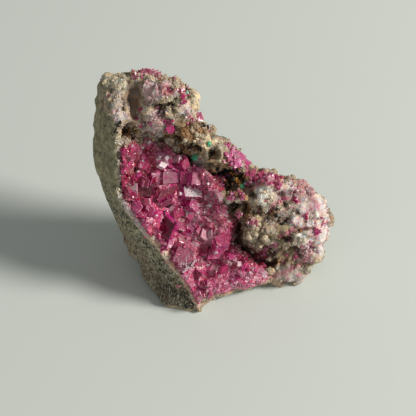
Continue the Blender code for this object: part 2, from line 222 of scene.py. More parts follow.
# painted shade: the dark patches at (7.2, 0.0), (15.2, -6.2), (12.6, -8.6), (6.0, -5.2), (7.2, -7.6) and the
# maroon one at (9.8, -9.6) darken the lobe's hollows and crevice
stonePatches = (  # kind, u, v, radius across, radius up
    ("cream", -16.8, 22.2, 3.4, 2.3), ("greyCrumb", -16.1, 19.5, 1.3, 3.0),
    ("cream", -12.8, 23.4, 1.9, 0.9), ("tan", -8.8, 23.9, 3.8, 1.1), ("tan", -4.8, 21.7, 2.2, 1.5),
    ("frost", -15.7, 16.4, 1.5, 1.7), ("frost", -9.4, 20.8, 1.8, 1.9), ("brown", -13.4, 19.2, 1.6, 4.0),
    ("pinkDust", -7.2, 21.4, 1.6, 1.2), ("frost", -9.4, 16.2, 2.6, 2.5), ("pinkDust", -9.0, 16.6, 1.3, 1.3),
    ("pinkDust", -10.4, 24.9, 2.3, 0.6), ("cream", -6.9, 18.9, 1.6, 1.2), ("tan", -5.8, 17.0, 2.5, 1.6),
    ("frost", -3.8, 18.2, 1.5, 1.4), ("rust", -3.3, 12.8, 3.0, 2.8), ("ochre", -2.1, 18.9, 0.9, 2.3),
    ("frost", -9.6, 14.0, 1.8, 1.1), ("maroon", -6.8, 21.2, 0.8, 0.9), ("rust", -7.2, 13.6, 1.3, 0.9),
    ("ochre", 0.2, 12.6, 2.0, 0.8), ("ochre", -0.6, 10.8, 0.8, 2.3), ("rust", -14.6, 14.0, 1.6, 1.2),
    ("rust", -6.2, 13.0, 0.9, 1.0), ("rust", -4.4, 10.6, 1.5, 1.3), ("frost", -1.7, 8.4, 1.3, 1.1),
    ("olive", 1.1, 9.8, 1.2, 1.2), ("rust", 3.4, 5.6, 4.1, 2.7), ("dark", 3.8, 5.5, 3.4, 1.9),
    ("maroon", 7.6, 5.4, 1.9, 1.5), ("rust", 5.6, 1.8, 2.4, 1.6), ("tan", 12.8, -1.0, 5.6, 4.8),
    ("frost", 14.6, 3.2, 3.0, 1.6), ("chalk", 10.7, 2.3, 1.5, 2.0), ("dark", 7.2, 0.0, 0.9, 0.7),
    ("pinkDust", 9.4, 5.6, 3.0, 1.2), ("chalk", 5.4, 1.4, 2.2, 0.6), ("rust", 7.3, -0.1, 1.4, 1.3),
    ("greyCrumb", 14.8, -2.3, 2.9, 2.7), ("rust", 12.4, -1.0, 0.9, 1.0), ("pinkDust", 7.4, -2.6, 1.6, 1.4),
    ("tan", 9.8, -4.8, 2.9, 1.7), ("olive", 14.4, -3.9, 1.8, 1.0), ("silk", 19.6, -0.2, 2.9, 4.2),
    ("silk", 21.2, -5.4, 3.0, 4.6), ("pinkDust", 18.6, 3.4, 2.4, 1.1), ("chalk", 20.0, -1.6, 1.2, 1.4),
    ("greyPink", 16.7, -13.1, 3.8, 1.7), ("olive", 15.6, -8.8, 2.9, 1.6), ("chalk", 17.8, -5.8, 1.1, 1.5),
    ("maroon", 17.6, -9.4, 0.8, 0.9), ("rust", 13.4, -10.4, 2.4, 0.7), ("dark", 15.2, -6.2, 1.0, 0.5),
    ("dark", 12.6, -8.6, 0.7, 1.1), ("rust", 5.6, -4.2, 1.7, 3.4), ("dark", 6.0, -5.2, 1.3, 2.8),
    ("dark", 7.2, -7.6, 1.2, 1.2), ("rust", 7.4, -1.4, 1.2, 1.4), ("maroon", 9.8, -9.6, 2.5, 1.6),
    ("cream", 19.6, -10.6, 2.4, 2.4), ("pinkDust", 19.4, -8.6, 1.2, 2.0),
)
brow = (  # where the crumbly front turns into the plain left flank, from the top down
    (-19.6, 26.0), (-19.6, 23.5), (-20.1, 18.3), (-18.5, 17.3), (-16.9, 15.7), (-17.0, 12.8), (-16.6, 9.1),
    (-16.6, 3.4), (-16.7, 2.1), (-15.3, -0.4), (-13.4, -3.0), (-11.4, -5.5), (-9.6, -7.5), (-7.6, -10.6),
    (-5.6, -13.1), (-3.7, -16.1), (-2.4, -19.0), (-1.5, -22.0),
)
rimBands = (  # the thin weathered rind along the brow and the lower edge: kind, half width, then its line
    ("cream", 0.75, ((-16.5, 13.0), (-16.1, 9.2), (-16.1, 6.1), (-16.1, 2.2))),
    ("frost", 0.75, ((-16.1, 2.2), (-14.3, -0.8), (-12.6, -3.0), (-11.1, -4.7))),
    ("peach", 0.75, (
        (-11.1, -4.9), (-9.1, -7.3), (-7.1, -10.4), (-5.2, -12.9), (-3.3, -15.9), (-2.2, -18.6),
    )),
    ("sill", 0.60, ((-2.7, -19.1), (0.6, -18.1), (4.5, -16.4), (9.5, -15.2), (13.2, -14.8))),
)
creases = (  # rind along the brow, then folds over the lobe: half width, rise, colour, line
    (0.60, 1.25, (0.98, 0.82, 0.66),
     ((-10.9, -4.8), (-8.9, -7.3), (-6.9, -10.4), (-5.1, -12.9), (-3.3, -15.9), (-2.3, -18.4))),
    (0.60, 0.65, (0.90, 0.77, 0.72), ((-16.1, 2.4), (-14.2, -0.8), (-12.5, -3.0), (-11.2, -4.5))),
    (0.34, 0.20, (0.55, 0.12, 0.20), ((12.0, 0.4), (14.5, 1.8), (16.1, 1.9), (17.3, 1.3))),
    (0.26, 0.12, (0.50, 0.14, 0.20), ((13.5, -5.4), (15.6, -4.4), (17.3, -3.8), (18.8, -3.6))),
    # painted shade: a sunk crease over the lobe, painted near black
    (0.30, -0.42, (0.10, 0.04, 0.03), ((13.9, -6.0), (15.6, -5.0), (17.5, -4.3), (20.0, -3.8))),
    (0.30, 0.10, (0.62, 0.28, 0.30), ((17.3, 4.9), (19.0, 3.4), (20.5, 1.5), (21.7, -1.1))),
    (0.26, 0.10, (0.62, 0.24, 0.28), ((19.4, 0.6), (20.1, -1.3), (20.9, -4.2), (20.5, -7.0))),
    (0.35, 0.08, (0.60, 0.24, 0.26), ((9.5, -13.0), (12.7, -13.5), (16.0, -12.2), (18.2, -10.8))),
    (0.22, 0.10, (0.62, 0.20, 0.24), ((8.0, 3.4), (9.8, 4.6), (12.0, 4.3), (13.9, 4.7))),
)
swells = (  # more of the lobe's and the arm's relief: u, v, radius across, radius up, how far out
    (9.6, 2.8, 1.2, 1.6, 0.30), (7.2, 0.1, 1.2, 1.2, -0.8), (12.7, 0.3, 1.7, 1.2, 0.30),
    (9.8, -1.2, 1.3, 0.9, -0.30), (15.6, -7.9, 2.4, 0.9, 1.00), (15.0, -6.1, 1.2, 0.5, -0.35),
    (13.4, 2.9, 0.7, 0.6, -0.45), (-14.9, 19.0, 0.7, 2.4, -0.50), (-13.2, 18.6, 1.0, 2.6, 0.30),
    (-16.4, 19.8, 0.7, 2.6, 0.35), (-8.9, 20.0, 1.0, 1.1, 1.30), (15.4, -0.5, 1.6, 1.4, 0.35),
    (18.4, -0.9, 1.1, 2.0, 0.25), (11.6, -1.9, 0.9, 0.8, 0.35), (-16.4, 20.4, 0.9, 1.1, 0.30),
    (-8.0, 22.2, 1.0, 0.8, 0.35), (-6.2, 19.6, 0.9, 1.1, 0.40), (-4.6, 18.3, 0.8, 0.8, 0.30),
    (-6.7, 21.1, 0.6, 0.7, -0.50), (-9.9, 16.2, 1.0, 0.9, 0.35), (-8.4, 17.5, 0.8, 0.5, -0.25),
    (-5.6, 16.8, 0.6, 1.2, -0.35), (-9.0, 13.6, 0.7, 0.9, 0.30),
)
crustEdge = (  # the ground that the crystals cover
    (-16.4, 10.9), (-14.8, 11.7), (-12.4, 12.3), (-9.8, 12.0), (-7.4, 11.1), (-5.0, 9.8), (-3.0, 8.0),
    (-1.0, 7.5), (0.1, 6.1), (1.3, 3.7), (2.7, 0.4), (3.6, -3.5), (4.1, -6.4), (5.9, -9.2), (8.2, -11.4),
    (11.4, -12.7), (10.9, -14.6), (9.2, -14.8), (4.7, -15.6), (0.8, -16.9), (-2.0, -18.2), (-3.2, -16.3),
    (-5.0, -12.3), (-7.2, -8.0), (-10.3, -4.7), (-13.7, -1.0), (-16.0, 1.9), (-16.5, 5.2), (-16.4, 8.9),
)


def pastBrow(places):
    # how far each place lies to the front's side of the brow
    return places[:, 0] - lineAt(brow, places[:, 1])


def mineralWeights(places, normals, ragged):
    # how much of each kind lies at each place; later kinds lie over earlier ones
    u, v = places[:, 0], places[:, 1]
    front = np.clip(pastBrow(places) / 0.5 + 0.5 + ragged * 0.5, 0, 1)
    front *= np.clip((normals[:, 2] + 0.2) / 0.25, 0, 1)
    layers = [("flank", np.ones(len(u))), ("front", front)]
    for kind, u0, v0, across, up in stonePatches:
        reach = np.hypot((u - u0) / across, (v - v0) / up) + ragged * 0.5
        layers.append((kind, np.clip((1.25 - reach) / 0.5, 0, 1) * front))
    for kind, half, line in rimBands:
        reach = nearLine(places, line) / half + ragged * 0.5
        facing = np.clip((normals[:, 2] + 0.25) / 0.3, 0, 1)
        layers.append((kind, np.clip((1.2 - reach) / 0.4, 0, 1) * facing))
    return layers, front


def layered(layers, column):
    # blends the kinds' colours (0) or crumb heights (1)
    value = np.zeros((len(layers[0][1]), 3 if column == 0 else 1))
    for kind, weight in layers:
        blend(value, stoneKinds[kind][column], weight)
    return value if column == 0 else value[:, 0]


def hollowness(mesh, rounds):
    # how far each vertex lies below the smoothed surface, in mm: crevices are above zero and crests below
    ends = np.empty(len(mesh.edges) * 2, np.int32)
    mesh.edges.foreach_get("vertices", ends)
    first, second = ends.reshape(-1, 2).T
    places, normals = vertexPlaces(mesh), vertexNormals(mesh)
    count = np.bincount(ends, minlength=len(places)).clip(1)[:, None]
    smooth = places.copy()
    for _ in range(rounds):
        total = np.zeros_like(smooth)
        for axis in range(3):
            total[:, axis] = (np.bincount(first, smooth[second, axis], len(places))
                              + np.bincount(second, smooth[first, axis], len(places)))
        smooth = (smooth + total / count) / 2
    return ((smooth - places) * normals).sum(axis=1)


rockSkin = {
    "voxel": 0.272,  # grain of the rock's skin, mm
    "softenings": 6,
    "lumps": (("VORONOI_F1", 2.3, -0.30), ("PERLIN_ORIGINAL", 1.5, 0.22)),  # noise, size, height in mm
    "crumbs": (  # noise, size of a crumb, its share of the kind's height
        ("VORONOI_F1", 0.9, -0.42), ("VORONOI_F1", 0.5, -0.52), ("PERLIN_ORIGINAL", 0.6, 0.35)),
    "sink": {"dark": 0.8, "brown": 0.15, "maroon": 0.2},
    "limits": (-1.3, 0.5),  # how far the skin may be pushed in or out, mm
    "pits": (  # small round holes with a raised ring: u, v, radius, depth, height of the ring
        (1.15, 10.0, 1.3, 1.5, 0.45), (16.3, 3.2, 0.45, 0.5, 0.12), (-16.6, 17.6, 0.5, 0.5, 0.12),
        (-13.9, 13.6, 0.5, 0.5, 0.1), (19.4, -3.0, 0.5, 0.4, 0.15), (13.8, 3.1, 0.45, 0.5, 0.1),
    ),
    "paintedFineShade": (0.30, 0.45),  # painted shade in the fine crevices: how far down they are darkest, and how dark they are there
    "paintedCreviceShade": ((0.17, 0.095, 0.06), 0.42, 0.85),  # painted shade in the broad crevices: its dark brown, how far down it is full, how much
    "warmth": (0.22, 0.0, -0.30),  # what a warm grain gains in red, green and blue
    "bloom": (0.55, 0.12, 0.24),
    "outer": (0.35, 0.255, 0.18),  # the flank's outer strip
    "foot": (0.62, 0.48, 0.31),  # the thin rim that it stands on
    "lowShade": 0.58,  # painted shade: how much darker the lower flank is
}


def makeRock():
    mesh = softSkin("host_rock", rockSkin)
    places, normals = vertexPlaces(mesh), vertexNormals(mesh)
    ragged = noiseField(places, 1.7) + 0.5 * noiseField(places, 0.6)
    layers, front = mineralWeights(places, normals, ragged)
    height = layered(layers, 1)
    crumbly = np.zeros(len(places))
    for basis, size, share in rockSkin["crumbs"]:
        cells = noiseField(places, size, basis)
        crumbly += share * (cells - cells.mean()) / cells.std() * 0.45
    push = height * crumbly
    lumpy = np.clip(height / 0.3, 0.30, 1) * front
    for basis, size, rise in rockSkin["lumps"]:
        swell = noiseField(places, size, basis)
        push += lumpy * rise * (swell - swell.mean()) / swell.std()
    for kind, depth in rockSkin["sink"].items():
        for name, weight in layers:
            if name == kind:
                push -= depth * weight * 0.6
    push += (1 - front) * 0.06 * noiseField(places, 0.8, stretch=(1, 6, 1.6))  # the flank's upright grain
    for half, rise, _, line in creases:
        push += rise * np.exp(-((nearLine(places, line) / half) ** 2)) * front
    push = np.clip(push, *rockSkin["limits"])
    for *oval, rise in swells:
        push += rise * bell(places, *oval) * front
    places = places + normals * push[:, None]
    for u, v, radius, depth, ring in rockSkin["pits"]:
        away = np.hypot(places[:, 0] - u, places[:, 1] - v) / radius
        bowl = -depth * np.clip(1 - away**2, 0, 1) + ring * np.exp(-(((away - 1.12) / 0.22) ** 2))
        places[:, 2] += bowl * front
    # the base stays the flat face that it stands on
    world = np.c_[places, np.ones(len(places))] @ np.array(faceToWorld).T
    world[world[:, 2] < 0.0003, 2] = 0
    places = (world @ np.array(worldToFace).T)[:, :3]
    moveVertices(mesh, places)
    paintStone(mesh, places, vertexNormals(mesh), layers, front)
    mesh.shade_smooth()
    return mesh


def paintStone(mesh, places, normals, layers, front):
    colour = layered(layers, 0)
    blotch = noiseField(places, 1.1)
    fine = noiseField(places, 0.35)
    colour *= (1 + (2 - front) * (0.26 * blotch + 0.20 * fine))[:, None].clip(0.35, 1.7)
    # warmer and cooler grains side by side
    warmth = noiseField(places + 40, 0.7)[:, None] * front[:, None]
    colour *= 1 + warmth * np.array(rockSkin["warmth"])
    # painted shade: dark brown in the broad crevices, darker still in the fine ones, none on the crests
    shadeBrown, deep, most = rockSkin["paintedCreviceShade"]
    creviceShade = np.clip(hollowness(mesh, 90) / deep + 0.5 * blotch - 0.1, 0, 1) * most * front
    creviceShade *= 1 - 0.9 * dict(layers)["brown"]  # the smooth groove gets little of this painted shade
    blend(colour, shadeBrown, creviceShade)
    deep, dark = rockSkin["paintedFineShade"]
    low = hollowness(mesh, 12) / deep
    colour *= np.clip(1 - low * (1 - dark), dark, 1.2)[:, None]
    patchy = np.clip(0.75 + 0.9 * blotch, 0, 1)
    for half, _, stain, line in creases:
        near = np.exp(-((nearLine(places, line) / half / 1.2) ** 2)) * front
        blend(colour, stain, near * patchy)
    # pink bloom in seams near the lobe's edge
    seam = np.exp(-((noiseField(places, 2.6, stretch=(1, 1, 2)) / 0.045) ** 2)) * front
    lobe = np.clip((places[:, 0] - 12.5) / 3, 0, 1)
    blend(colour, rockSkin["bloom"], seam * lobe * 0.75)
    # the flank's outer strip is smoother and browner, its foot has a thin tan rim
    past = pastBrow(places)
    outer = np.clip((-past - 3.0 + 0.9 * blotch) / 0.9, 0, 1) * np.clip((2 - places[:, 1]) / 4, 0, 1)
    outer *= 1 - front
    blend(colour, np.array(rockSkin["outer"]) * (1 + 0.3 * fine[:, None]), outer * 0.6)
    ground = (np.c_[places, np.ones(len(places))] @ np.array(faceToWorld)[2]) / stance["mm"]
    foot = np.clip((0.8 - ground + 0.5 * blotch) / 0.3, 0, 1) * (normals[:, 2] > -0.3)
    blend(colour, rockSkin["foot"], foot)
    # painted shade: the flank darkens toward its lower end, though not on its tan foot
    shade = np.clip((places[:, 1] + 8) / -10, 0, 1) * (1 - front)
    colour *= (1 - rockSkin["lowShade"] * shade * (1 - foot))[:, None]
    bed = inside(crustEdge, places) & (normals[:, 2] > 0.1)
    colour[bed] = colour[bed] * 0.3 + np.array(stoneKinds["bed"][0]) * 0.7
    paint(mesh, colour)
    addFloats(mesh, "flank", (1 - front) * (1 - 0.35 * outer) * (1 - foot))
    addFloats(mesh, "crumbly", np.clip(layered(layers, 1) / 0.32, 0.15, 1))


def cornersOf(face):
    return [vert.index for vert in face.verts]


def templateOf(bm, paintedLight=(0.0,), subdivided=False):
    # how much painted highlight each kind of face carries; subdividing gives the faces a new order each run
    bm.verts.index_update()
    faces = sorted(bm.faces, key=cornersOf) if subdivided else bm.faces[:]
    template = {
        "verts": np.array([vert.co[:] for vert in bm.verts]),
        "faces": [cornersOf(face) for face in faces],
        "edge": np.array([paintedLight[face.material_index] for face in faces]),
        "cap": np.array([face.normal.z > 0.9 for face in faces]),
    }
    bm.free()
    return template


def rhombTemplate(bevel=0.0, borders=(), cuts=0):
    # a cube to be pressed into a rhomb, its edges worn and each face stepped down inside its borders
    bm = bmesh.new()
    bmesh.ops.create_cube(bm, size=1.0)
    flats = bm.faces[:]
    for number, border in enumerate(borders):
        ring = bmesh.ops.inset_individual(bm, faces=flats, thickness=border, depth=-0.014)["faces"]
        for face in ring:
            face.material_index = 2 + number
    if bevel:
        outer = [edge for edge in bm.edges if edge.calc_length() > 0.99]
        worn = bmesh.ops.bevel(bm, geom=outer, offset=bevel, offset_type="OFFSET", segments=1, profile=0.5,
                               affect="EDGES", material=-1)["faces"]
        for face in worn:
            face.material_index = 1
    if cuts:
        bmesh.ops.subdivide_edges(bm, edges=bm.edges[:], cuts=cuts, use_grid_fill=True)
    bmesh.ops.recalc_face_normals(bm, faces=bm.faces[:])
    bm.normal_update()
    # the worn edge faces carry the full painted highlight, the borders less of it
    return templateOf(bm, paintedLight=(0.0, 1.0, 0.45, 0.15), subdivided=cuts > 0)


def crumbTemplate(subdivisions=1):
    # 1 is a ball of twenty faces, 3 one of three hundred and twenty
    bm = bmesh.new()
    bmesh.ops.create_icosphere(bm, subdivisions=subdivisions, radius=0.5)
    return templateOf(bm)


rhombFlatness = 0.70
diagonalUp = Vector((1, 1, 1)).rotation_difference(viewDirection).to_matrix()
rhombShape = np.array(Matrix.Diagonal((1, 1, rhombFlatness)) @ diagonalUp)


def stacked(*rows):
    # many 3x3 matrices at once, from three rows of three arrays
    return np.stack([np.stack(row, 1) for row in rows], 1)


def randomTurns(count, rng):
    # evenly spread rotations
    quats = rng.normal(size=(count, 4))
    quats /= np.linalg.norm(quats, axis=1)[:, None]
    w, x, y, z = quats.T
    return stacked(
        (1 - 2 * (y * y + z * z), 2 * (x * y - z * w), 2 * (x * z + y * w)),
        (2 * (x * y + z * w), 1 - 2 * (x * x + z * z), 2 * (y * z - x * w)),
        (2 * (x * z - y * w), 2 * (y * z + x * w), 1 - 2 * (x * x + y * y)))


def randomSizes(limits, smallness, rng, count=None):
    # the higher the smallness, the more of them are small
    low, high = limits
    return low + (high - low) * rng.random(count) ** smallness


def crumbShape(size, rng, breadth=(0.6, 1.2)):
    return randomTurns(1, rng)[0] * size * rng.uniform(*breadth, (1, 3))


def joinedCopies(name, template, places, shapes):
    # every copy is the template under its own 3x3 shape, set at its place
    verts = template["verts"]
    copies, each = len(places), len(verts)
    placed = np.einsum("nij,kj->nki", np.array(shapes), verts) + np.array(places)[:, None, :]
    corners = np.concatenate([np.array(face) for face in template["faces"]])
    sides = np.array([len(face) for face in template["faces"]])
    loops = (corners[None, :] + each * np.arange(copies)[:, None]).ravel()
    totals = np.tile(sides, copies)
    mesh = bpy.data.meshes.new(name)
    mesh.vertices.add(copies * each)
    mesh.loops.add(len(loops))
    mesh.polygons.add(len(totals))
    mesh.vertices.foreach_set("co", placed.ravel())
    mesh.loops.foreach_set("vertex_index", loops.astype(np.int32))
    starts = np.concatenate([[0], np.cumsum(totals)[:-1]])
    mesh.polygons.foreach_set("loop_start", starts.astype(np.int32))
    mesh.update(calc_edges=True)
    mesh.validate()
    addFloats(mesh, "edge", np.tile(template["edge"], copies), "FACE")
    mesh.shade_flat()
    return mesh


def perCopy(mesh, name, values, template, sides=None):
    # one value for each copy, or one for its shown face and another for its sides
    each = np.repeat(values, len(template["faces"]))
    if sides is not None:
        each = np.where(np.tile(template["cap"], len(values)), each, np.repeat(sides, len(template["faces"])))
    addFloats(mesh, name, each, "FACE")


def crystalLayers(mesh, template, **layers):
    for name, values in layers.items():
        perCopy(mesh, name, np.clip(values, 0, 1), template)


def stoneGrains(name, template, places, shapes, tints, crumbly):
    mesh = joinedCopies(name, template, places, shapes)
    paint(mesh, np.repeat(np.array(tints), len(template["verts"]), axis=0))
    addFloats(mesh, "crumbly", crumbly)
    return mesh


def waver(mesh, size, amount):
    # natural faces aren't quite flat, nor their edges quite straight
    places = vertexPlaces(mesh)
    drift = np.array([noise.noise_vector(Vector(p)) for p in (places / size).tolist()])
    moveVertices(mesh, places + drift * amount)


def scatterOn(mesh, weights, count, rng):
    # random places on a mesh, by area and by weight at its vertices
    mesh.calc_loop_triangles()
    triangles = np.empty(len(mesh.loop_triangles) * 3, np.int32)
    mesh.loop_triangles.foreach_get("vertices", triangles)
    triangles = triangles.reshape(-1, 3)
    places, normals = vertexPlaces(mesh), vertexNormals(mesh)
    corners = places[triangles]
    areas = np.linalg.norm(np.cross(corners[:, 1] - corners[:, 0], corners[:, 2] - corners[:, 0]), axis=1)
    chance = areas * weights[triangles].mean(axis=1)
    chosen = rng.choice(len(triangles), count, p=chance / chance.sum())
    share = rng.dirichlet((1, 1, 1), count)
    spots = (corners[chosen] * share[:, :, None]).sum(axis=1)
    facing = (normals[triangles[chosen]] * share[:, :, None]).sum(axis=1)
    facing /= np.linalg.norm(facing, axis=1)[:, None]
    return spots, facing, triangles[chosen, 0]


def addNode(tree, kind, inputs=None, **settings):
    node = tree.nodes.new(kind)
    for name, value in settings.items():
        setattr(node, name, value)
    for socket, value in (inputs or {}).items():
        if isinstance(value, bpy.types.NodeSocket):
            tree.links.new(value, node.inputs[socket])
        else:
            node.inputs[socket].default_value = value
    return node


def stored(tree, layer, output="Fac"):
    return addNode(tree, "ShaderNodeAttribute", attribute_name=layer).outputs[output]


def grainNoise(tree, coords, size, detail=2.0, roughness=0.5, distortion=0.0):
    # size is in mm
    values = {"Vector": coords, "Scale": 1000 / size, "Detail": detail, "Roughness": roughness,
              "Distortion": distortion}
    return addNode(tree, "ShaderNodeTexNoise", values).outputs["Fac"]


def maths(tree, operation, a, b, clamp=False):
    return addNode(tree, "ShaderNodeMath", {0: a, 1: b}, operation=operation, use_clamp=clamp).outputs[0]


def times(tree, a, b):
    return maths(tree, "MULTIPLY", a, b)


def spread(tree, value, low, high, toLow=0.0, toHigh=1.0):
    values = {"Value": value, "From Min": low, "From Max": high, "To Min": toLow, "To Max": toHigh}
    return addNode(tree, "ShaderNodeMapRange", values).outputs["Result"]


def mixColours(tree, factor, a, b, blendType="MIX"):
    node = addNode(tree, "ShaderNodeMix", {0: factor, 6: a, 7: b}, data_type="RGBA", blend_type=blendType)
    return node.outputs[2]


def ramp(tree, value, stops):
    node = addNode(tree, "ShaderNodeValToRGB", {"Fac": value})
    elements = node.color_ramp.elements
    while len(elements) < len(stops):
        elements.new(0.5)
    for element, (position, colour) in zip(elements, stops):
        element.position = position
        element.color = (*colour, 1)
    return node.outputs["Color"]


def bumpFrom(tree, height, distance, strength=1.0, normal=None):
    values = {"Height": height, "Distance": distance * stance["mm"], "Strength": strength}
    if normal is not None:
        values["Normal"] = normal
    return addNode(tree, "ShaderNodeBump", values).outputs["Normal"]


def startMaterial(name, settings):
    material = bpy.data.materials.new(name)
    material.use_nodes = True
    tree = material.node_tree
    shader = tree.nodes["Principled BSDF"]
    for socket, value in settings.items():
        shader.inputs[socket].default_value = value
    coords = addNode(tree, "ShaderNodeTexCoord").outputs["Object"]
    return material, tree, shader, coords


def finishShader(tree, shader, colour, roughness, normal):
    for socket, value in (("Base Color", colour), ("Roughness", roughness), ("Normal", normal)):
        tree.links.new(value, shader.inputs[socket])


hostStone = {
    "shader": {"Metallic": 0.0, "Specular IOR Level": 0.35},
    "fleckColour": (0.035, 0.032, 0.026, 1),
    "paleColour": (0.52, 0.48, 0.37, 1),
    "fleckHeights": (0.030, 0.014),  # metres up: the flecks thicken from the first to the second
}


def makeHostStone():
    material, tree, shader, coords = startMaterial("hostStone", hostStone["shader"])
    tint, flank, crumbly = stored(tree, "tint", "Color"), stored(tree, "flank"), stored(tree, "crumbly")
    sand = grainNoise(tree, coords, 0.22, 3.0, 0.7)
    speck = grainNoise(tree, coords, 0.55, 2.0, 0.6)
    grains = ramp(tree, sand, ((0.25, (0.50,) * 3), (0.5, (0.97,) * 3), (0.75, (1.35,) * 3)))
    colour = mixColours(tree, spread(tree, crumbly, 0.0, 1.0, 0.3, 1.0), tint, grains, "MULTIPLY")
    # flank: fine upright streaks, and dark flecks that grow thick toward the lower end
    turned = {"Vector": coords, "Rotation": (stance["tilt"], 0, 0), "Scale": (1, 2.0, 1.2)}
    along = addNode(tree, "ShaderNodeMapping", turned, vector_type="TEXTURE").outputs[0]
    streak = spread(tree, grainNoise(tree, along, 0.5, 3.0, 0.6), 0.35, 0.65, 0.72, 1.2)
    streaked = mixColours(tree, flank, colour, mixColours(tree, 1.0, colour, streak, "MULTIPLY"))
    low = addNode(tree, "ShaderNodeSeparateXYZ", {"Vector": coords}).outputs["Z"]
    thick = spread(tree, low, *hostStone["fleckHeights"], 0.62, 0.52)
    above = maths(tree, "SUBTRACT", grainNoise(tree, along, 0.42, 3.0, 0.65, 0.3), thick)
    flecks = times(tree, spread(tree, above, 0.0, 0.02), flank)
    colour = mixColours(tree, flecks, streaked, hostStone["fleckColour"])
    above = maths(tree, "SUBTRACT", grainNoise(tree, along, 0.35, 1.0), thick)
    chips = times(tree, spread(tree, above, 0.05, 0.08), flank)
    colour = mixColours(tree, times(tree, chips, 0.8), colour, hostStone["paleColour"])
    cells = addNode(tree, "ShaderNodeTexVoronoi", {"Vector": coords, "Scale": 1000 / 0.5}).outputs["Distance"]
    rough = bumpFrom(tree, sand, 0.14, spread(tree, crumbly, 0.0, 1.0, 0.35, 0.8))
    rough = bumpFrom(tree, cells, 0.18, 0.5, rough)
    finishShader(tree, shader, colour, spread(tree, speck, 0.3, 0.7, 0.62, 0.95), rough)
    return material


raspberryTones = (  # from looking deep into a crystal to a frosted face
    (0.0, (0.15, 0.005, 0.020)), (0.25, (0.42, 0.015, 0.058)), (0.45, (0.70, 0.052, 0.145)),
    (0.62, (0.83, 0.165, 0.29)), (0.8, (0.86, 0.42, 0.48)), (1.0, (0.90, 0.80, 0.80)),
)
magentaTones = (
    (0.0, (0.15, 0.003, 0.040)), (0.25, (0.46, 0.007, 0.14)), (0.45, (0.80, 0.024, 0.32)),
    (0.62, (0.86, 0.135, 0.44)), (0.8, (0.86, 0.38, 0.56)), (1.0, (0.90, 0.76, 0.82)),
)
crystalLooks = {  # the shader's own values, then how cloudy, how grainy, how rough from and to
    "cobaltCalcite": ({"Transmission Weight": 0.5, "IOR": 1.6}, 0.16, 0.03, 0.10, 0.32),
    "pinkSugar": ({"Transmission Weight": 0.2, "IOR": 1.6}, 0.08, 0.06, 0.05, 0.35),
    "paleCalcite": ({"Transmission Weight": 0.35, "IOR": 1.55}, 0.06, 0.03, 0.15, 0.45),
}
crystalSkins = {
    "rimHighlight": ((0.38, (0.82, 0.028, 0.32)), (0.52, (0.87, 0.17, 0.46)), (0.64, (0.94, 0.68, 0.80))),
    "frost": (0.88, 0.72, 0.76, 1),
    "film": ((0.3, (0.10, 0.045, 0.03)), (0.7, (0.50, 0.34, 0.26))),
}


def makeCrystal(name):
    # each crystal's "tone" picks its pink and "blush" its hue, "dust" films it with brown,
    # and its "edge" faces are painted lighter, a painted highlight for the light that runs along its edges
    settings, cloudy, grainy, roughLow, roughHigh = crystalLooks[name]
    material, tree, shader, coords = startMaterial(name, settings)
    tone, edge, blush, dust = (stored(tree, layer) for layer in ("tone", "edge", "blush", "dust"))
    cloud = grainNoise(tree, coords, 0.9, 4.0, 0.6, 0.8)
    fine = grainNoise(tree, coords, 0.26, 3.0, 0.6)
    shifted = maths(tree, "ADD", tone, spread(tree, cloud, 0.3, 0.7, -cloudy, cloudy))
    shifted = maths(tree, "ADD", shifted, spread(tree, fine, 0.3, 0.7, -grainy, grainy), clamp=True)
    colour = mixColours(tree, blush, ramp(tree, shifted, raspberryTones), ramp(tree, shifted, magentaTones))
    # painted highlight: the edge faces turn a bright magenta to lilac white
    colour = mixColours(tree, times(tree, edge, 0.9), colour, ramp(tree, cloud, crystalSkins["rimHighlight"]))
    frost = times(tree, spread(tree, fine, 0.66, 0.74), spread(tree, cloud, 0.5, 0.65, 0.0, 0.45))
    colour = mixColours(tree, frost, colour, crystalSkins["frost"])
    filmed = times(tree, dust, spread(tree, cloud, 0.35, 0.6, 0.25, 1.0))
    colour = mixColours(tree, filmed, colour, ramp(tree, fine, crystalSkins["film"]))
    frosted = spread(tree, shifted, 0.55, 1.0, 0.0, 0.25)
    frosted = maths(tree, "ADD", spread(tree, fine, 0.35, 0.7, roughLow, roughHigh), frosted)
    frosted = maths(tree, "ADD", frosted, times(tree, dust, 0.25))
    relief = bumpFrom(tree, grainNoise(tree, coords, 0.5, 3.0, 0.5), 0.05, 0.6)
    finishShader(tree, shader, colour, frosted, relief)
    return material


malachite = {
    "shader": {"Specular IOR Level": 0.5, "IOR": 1.7},
    "bands": ((0.3, (0.008, 0.12, 0.06)), (0.5, (0.03, 0.42, 0.20)), (0.7, (0.22, 0.72, 0.45))),
    "grains": ((0.2, 11.9, 0.55), (-2.4, 9.5, 0.8), (-3.9, 20.9, 0.42), (6.4, 4.2, 0.6)),  # u, v, radius
}


def makeMalachite():
    material, tree, shader, coords = startMaterial("malachite", malachite["shader"])
    bands = grainNoise(tree, coords, 0.35, 4.0, 0.6, 1.5)
    rough = spread(tree, bands, 0.3, 0.7, 0.3, 0.6)
    finishShader(tree, shader, ramp(tree, bands, malachite["bands"]), rough, bumpFrom(tree, bands, 0.06))
    return material


crumbs = {
    "stoneCrumbs": {"count": 9600, "sizes": (0.12, 0.38), "rounds": 1, "lift": 0.02},
    "stoneKnobs": {"count": 420, "sizes": (0.4, 0.85), "rounds": 1, "lift": -0.1},
    "calciteGrains": {"count": 3500, "sizes": (0.16, 0.50), "rounds": 0, "lift": 0.05},
}
cavityBits = (
    (0.55, 0.22, 0.03), (0.20, 0.03, 0.12), (0.02, 0.015, 0.012), (0.30, 0.10, 0.02), (0.02, 0.06, 0.045),
)


def bareGround(rock):
    # the minerals at each place on the rock, and how far it is front ground that no crystals cover
    places = vertexPlaces(rock)
    layers, front = mineralWeights(places, vertexNormals(rock), noiseField(places, 1.7))
    return layers, front * ~inside(crustEdge, places)


